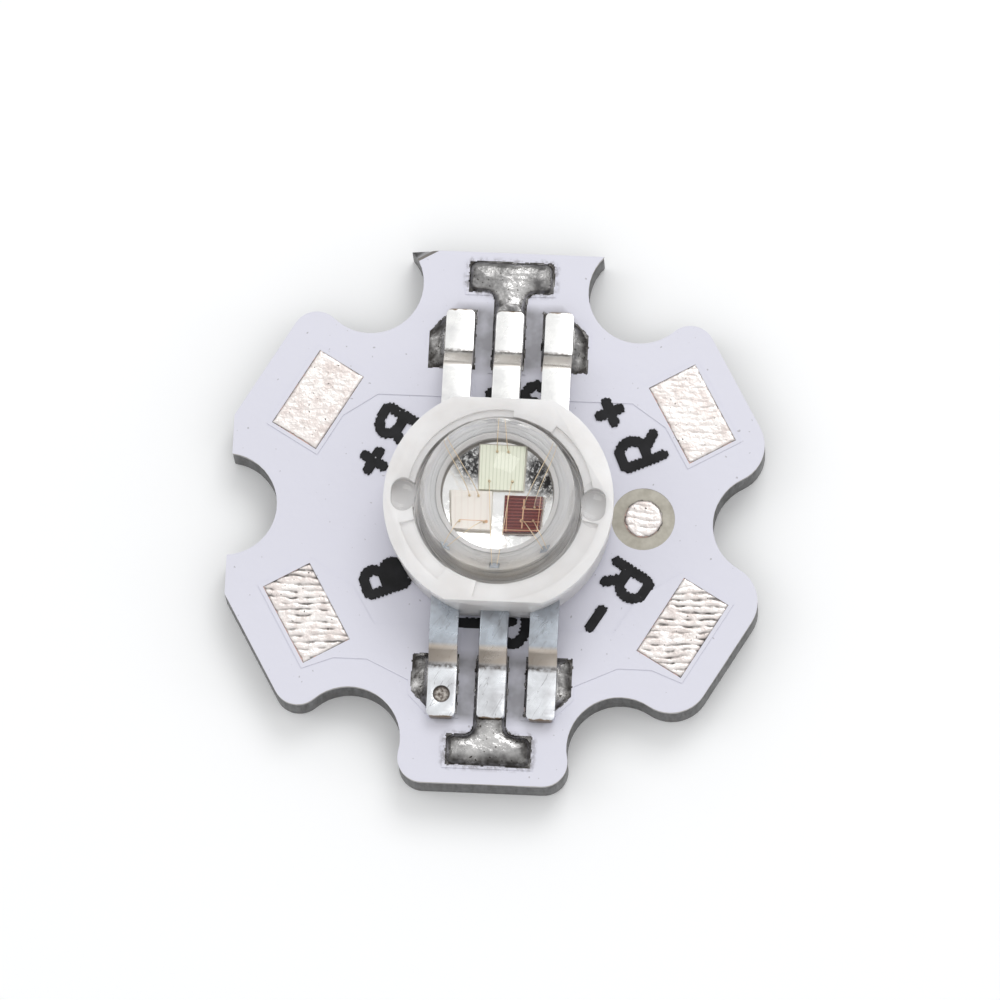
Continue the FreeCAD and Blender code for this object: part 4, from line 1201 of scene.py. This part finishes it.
def printed(name, glyph, centre, turn, filled, seed):
    """A letter of ink: the points nearer to its strokes than half a stroke + ragged noise."""
    reach = np.array([LETTER_WIDTH, LETTER_HEIGHT]) / 2 + STROKE
    u, v = flat_grid(-reach, reach, INK_STEP)
    paths = [[((x - 0.5) * LETTER_WIDTH, (y - 0.5) * LETTER_HEIGHT) for x, y in path]
             for path in GLYPHS[glyph]]
    distance = np.minimum.reduce([run_distance(u, v, a, b) for path in paths
                                  for a, b in zip(path[:-1], path[1:])])
    if filled:
        low_bowl = (np.abs(u) < LETTER_WIDTH * 0.45) & (v < 0) & (v > -LETTER_HEIGHT / 2)
        distance = np.where(low_bowl, 0.0, distance)
    ragged = 0.02 * lumps(u, v, 0.07, seed) + 0.018 * np.sin(v * 42.0)
    inside = (distance + ragged)[:-1, :-1] < STROKE / 2
    points, faces = puddle(u, v, np.full(u.shape, INK_TOP), LACQUER_TOP - 0.01, inside)
    add_piece(name, swung(points, centre, math.radians(turn)), faces, [INK])


def ink_finish():
    """Black ink with a few pinholes where the lacquer shows."""
    material, shader, where = patterned("ink", roughness=0.6, specular_ior_level=0.3)
    holes = masked(SPECKS, where, size=0.14, amount=0.22)
    cloud = stretch(noise(where, 0.5), 0.3, 0.7)
    black = blend(cloud, rgb(14, 14, 16), rgb(30, 30, 33))
    drive(shader, base_color=blend(holes, black, rgb(190, 190, 196)))
    return material


INK = ink_finish()
for number, (glyph, centre, turn) in enumerate(MARKS, 1):
    printed(f"mark_{number}", glyph, centre, turn, number == FILLED, 100 + number)


# %% [markdown]
# ## Wire
#
# A wire is a circle carried along a path. A curve with a bevel could do it; here the ring swells
# into a ball at one end, which a radius for each point gives at once.

# %% Tubes along a path
def tube(path, radius, sides):
    """Points, skin and two end caps of a round wire along a path in one upright plane.

    Every ring stands square to the path: its point is path + radius * (cos a * side
    + sin a * up), where side is level and up is square to both side and path.
    """
    path = np.asarray(path, float)
    forward = np.gradient(path, axis=0)
    forward /= np.linalg.norm(forward, axis=1, keepdims=True)
    level = path[-1] - path[0]
    side = np.array([-level[1], level[0], 0.0]) / np.hypot(level[0], level[1])
    upward = np.cross(side, -forward)
    turn = np.linspace(0, 2 * np.pi, sides, endpoint=False)
    radius = np.broadcast_to(radius, len(path))[:, None, None]
    ring = np.cos(turn)[None, :, None] * side + np.sin(turn)[None, :, None] * upward[:, None, :]
    points = (path[:, None, :] + radius * ring).reshape(-1, 3)
    number, _, skin = ring_skin(len(path), sides)
    return points, skin, np.stack([number[0, ::-1], number[-1]])


def joined(parts):
    """Several tubes of the same make as one: each one's faces count on from the last."""
    step = len(parts[0][0])
    points = np.concatenate([part_points for part_points, _, _ in parts])
    skins = np.concatenate([skin + step * turn for turn, (_, skin, _) in enumerate(parts)])
    caps = np.concatenate([ends + step * turn for turn, (_, _, ends) in enumerate(parts)])
    return points, skins.tolist() + caps.tolist()


print("a tube of two rings has", len(tube([(0, 0, 0), (1, 0, 0)], 0.1, 8)[0]), "points")


# %% [markdown]
# ## Bond wires
#
# Pairs of gold wires, thinner than a hair, tie each chip to its two leads. A bonder starts with a
# ball on the chip, pulls a loop and cuts the wire off on the post. The loop climbs steeply and
# comes down slowly, so its height is a sine of a root of the way along.

# %% Loops of gold wire
WIRE_RADIUS, BALL, RISE, PAIR = 0.01, 0.03, 0.27, 0.07
POST_TOP = SLUG_TOP + 0.02
POSTS = {"blue_plus": (-1.5, 1.58), "green_plus": (0.0, 2.15), "red_plus": (1.5, 1.58),
         "blue_minus": (-1.5, -1.58), "green_minus": (0.0, -2.15), "red_minus": (1.5, -1.58)}

# Where the two wires of a pair leave their chip, in shares of its half width.
BONDS = {
    "green_plus": ((-0.25, 0.72), (0.25, 0.72)), "green_minus": ((-0.55, -0.62), (0.5, -0.6)),
    "blue_plus": ((-0.1, 0.75), (0.35, 0.75)), "blue_minus": ((-0.6, -0.6), (0.65, -0.6)),
    "red_plus": ((0.05, 0.4), (0.6, 0.4)), "red_minus": ((0.0, -0.35), (0.6, -0.35)),
}


def loop(start, end):
    """A wire: its height over the straight line from start to end is rise * sin(pi * s^0.55)."""
    share = np.concatenate([[0.0, 0.0012, 0.0025, 0.004], np.linspace(0.1, 1, 22) ** 1.4])[:, None]
    path = start + (end - start) * share
    path[:, 2] += RISE * np.sin(np.pi * share[:, 0] ** 0.55)
    radius = np.full(len(path), WIRE_RADIUS)
    radius[:3] = BALL, 1.15 * BALL, 0.8 * BALL
    return tube(path, radius, 8)


for colour in COLOURS:
    chip = middle(f"{colour}_chip")
    half = (highest(f"{colour}_chip") - lowest(f"{colour}_chip"))[0] / 2
    chip_top = highest(f"{colour}_chip")[2]
    wires = []
    for sign in ("plus", "minus"):
        post = np.array(POSTS[f"{colour}_{sign}"]) + EMITTER
        for side, share in zip((-1, 1), BONDS[f"{colour}_{sign}"]):
            start = np.array([chip[0] + share[0] * half, chip[1] + share[1] * half, chip_top])
            end = np.array([post[0] + side * PAIR, post[1], POST_TOP + WIRE_RADIUS])
            wires.append(loop(start, end))
    points, faces = joined(wires)
    add_piece(f"{colour}_wires", points, faces, [GOLD], (f"{colour}_bond_wires",))


# %% [markdown]
# ## Filling ports
#
# Two slots in the housing let the silicone in under the lens, and it set in each as a glassy
# button. One puddle holds both the flat filling of the slot and the dome in its middle, which a
# squashed ball couldn't.

# %% Buttons of silicone
PORT_OUT, PORT_LONG, PORT_WIDE, PORT_TURN = 3.44, 0.62, 0.43, math.radians(-1.0)
BUTTON_RADIUS, BUTTON_RISE = 0.46, 0.13
PORT_FACE, PORT_DEEP = 4.3, 0.35


def port_button(name, turn):
    """A filled slot with a round button whose top is rise * sqrt(1 - r^2) over the face."""
    x, y = flat_grid((-0.7, -1.15), (0.7, 1.15), 0.035)
    off = np.hypot(x, np.maximum(np.abs(y) - PORT_LONG + 0.2, 0))
    share = np.clip(np.hypot(x, y) / BUTTON_RADIUS, 0, 1)
    top = PORT_FACE - 0.02 + BUTTON_RISE * np.sqrt(1 - share**2)
    inside = (off < PORT_WIDE) | (share < 1)
    points, faces = puddle(x, y, top, PORT_FACE - PORT_DEEP, inside[:-1, :-1])
    centre = EMITTER + PORT_OUT * np.array([math.cos(turn), math.sin(turn)])
    add_piece(name, swung(points, centre, turn), faces, [GEL])


port_button("right_port_button", PORT_TURN)
port_button("left_port_button", PORT_TURN + math.pi)


# %% [markdown]
# ## Floor and light
#
# The part lies on a pale floor in a small light tent. The tent is the world's colour: white
# overhead and grey near the floor, so that bent metal has something dark to reflect. A low lamp
# in the east picks out the sides of the joints.

# %% Stage and lamps
def soft_floor():
    """A plain pale floor just under the board."""
    bpy.ops.mesh.primitive_plane_add(size=3.0, location=(0, 0, lowest("aluminium_base")[2] * MM))
    floor = bpy.context.object
    floor.name = "floor"
    pale = finish("floor", base_color=rgb(252, 253, 254), roughness=0.9, specular_ior_level=0.0)
    floor.data.materials.append(pale[0])


def lamp(name, stand, size, power):
    """A square area lamp that stands at a place in metres and faces the part."""
    light = bpy.data.lights.new(name, "AREA")
    light.size = size
    light.energy = power
    holder = bpy.data.objects.new(name, light)
    bpy.context.collection.objects.link(holder)
    holder.location = stand
    holder.rotation_euler = holder.location.to_track_quat("Z", "Y").to_euler()


soft_floor()
scene = bpy.context.scene
scene.view_settings.view_transform = "Standard"
world = bpy.data.worlds.new("studio")
scene.world = world
world.use_nodes = True
sky = world.node_tree
aim = split(add("TexCoord", tree=sky).outputs["Generated"])["Z"]
tent = blend(stretch(aim, 0.1, 0.55), rgb(110, 106, 102), rgb(255, 255, 255))
sky.links.new(tent, sky.nodes["Background"].inputs["Color"])
sky.nodes["Background"].inputs["Strength"].default_value = 0.9
lamp("key", (0.06, 0.20, 0.25), 0.16, 0.24)
lamp("side", (-0.22, 0.02, 0.18), 0.14, 0.06)
lamp("low", (0.25, -0.03, 0.08), 0.1, 0.055)
print("lamps:", len(bpy.data.lights))


# %% [markdown]
# ## Camera
#
# The camera looks down from far off through a long lens, so the star hardly narrows. Its turns
# and its place were measured on the outline of the board.

# %% Camera
TILT, SWAY, TURN = math.radians(-13.81), math.radians(-2.0), math.radians(-2.817)
AWAY, RIGHT, UP = 414.45, -0.044, 0.8705
AIM, FOCAL_LENGTH = (0.18, 0.04), 410.8

look = Matrix.Rotation(TILT, 3, "X") @ Matrix.Rotation(SWAY, 3, "Y")
look = (look @ Matrix.Rotation(TURN, 3, "Z")).transposed()
stand = look.col[2] * AWAY + look.col[0] * RIGHT + look.col[1] * UP
view = bpy.data.cameras.new("photo")
view.sensor_width = 36.0
view.lens = FOCAL_LENGTH
view.clip_end = 5.0
camera = bpy.data.objects.new("photo", view)
bpy.context.collection.objects.link(camera)
moved = Matrix.Translation(((stand.x + AIM[0]) * MM, (stand.y + AIM[1]) * MM, stand.z * MM))
camera.matrix_world = moved @ look.to_4x4()
scene.camera = camera
print("camera stands", [round(value, 4) for value in camera.location])
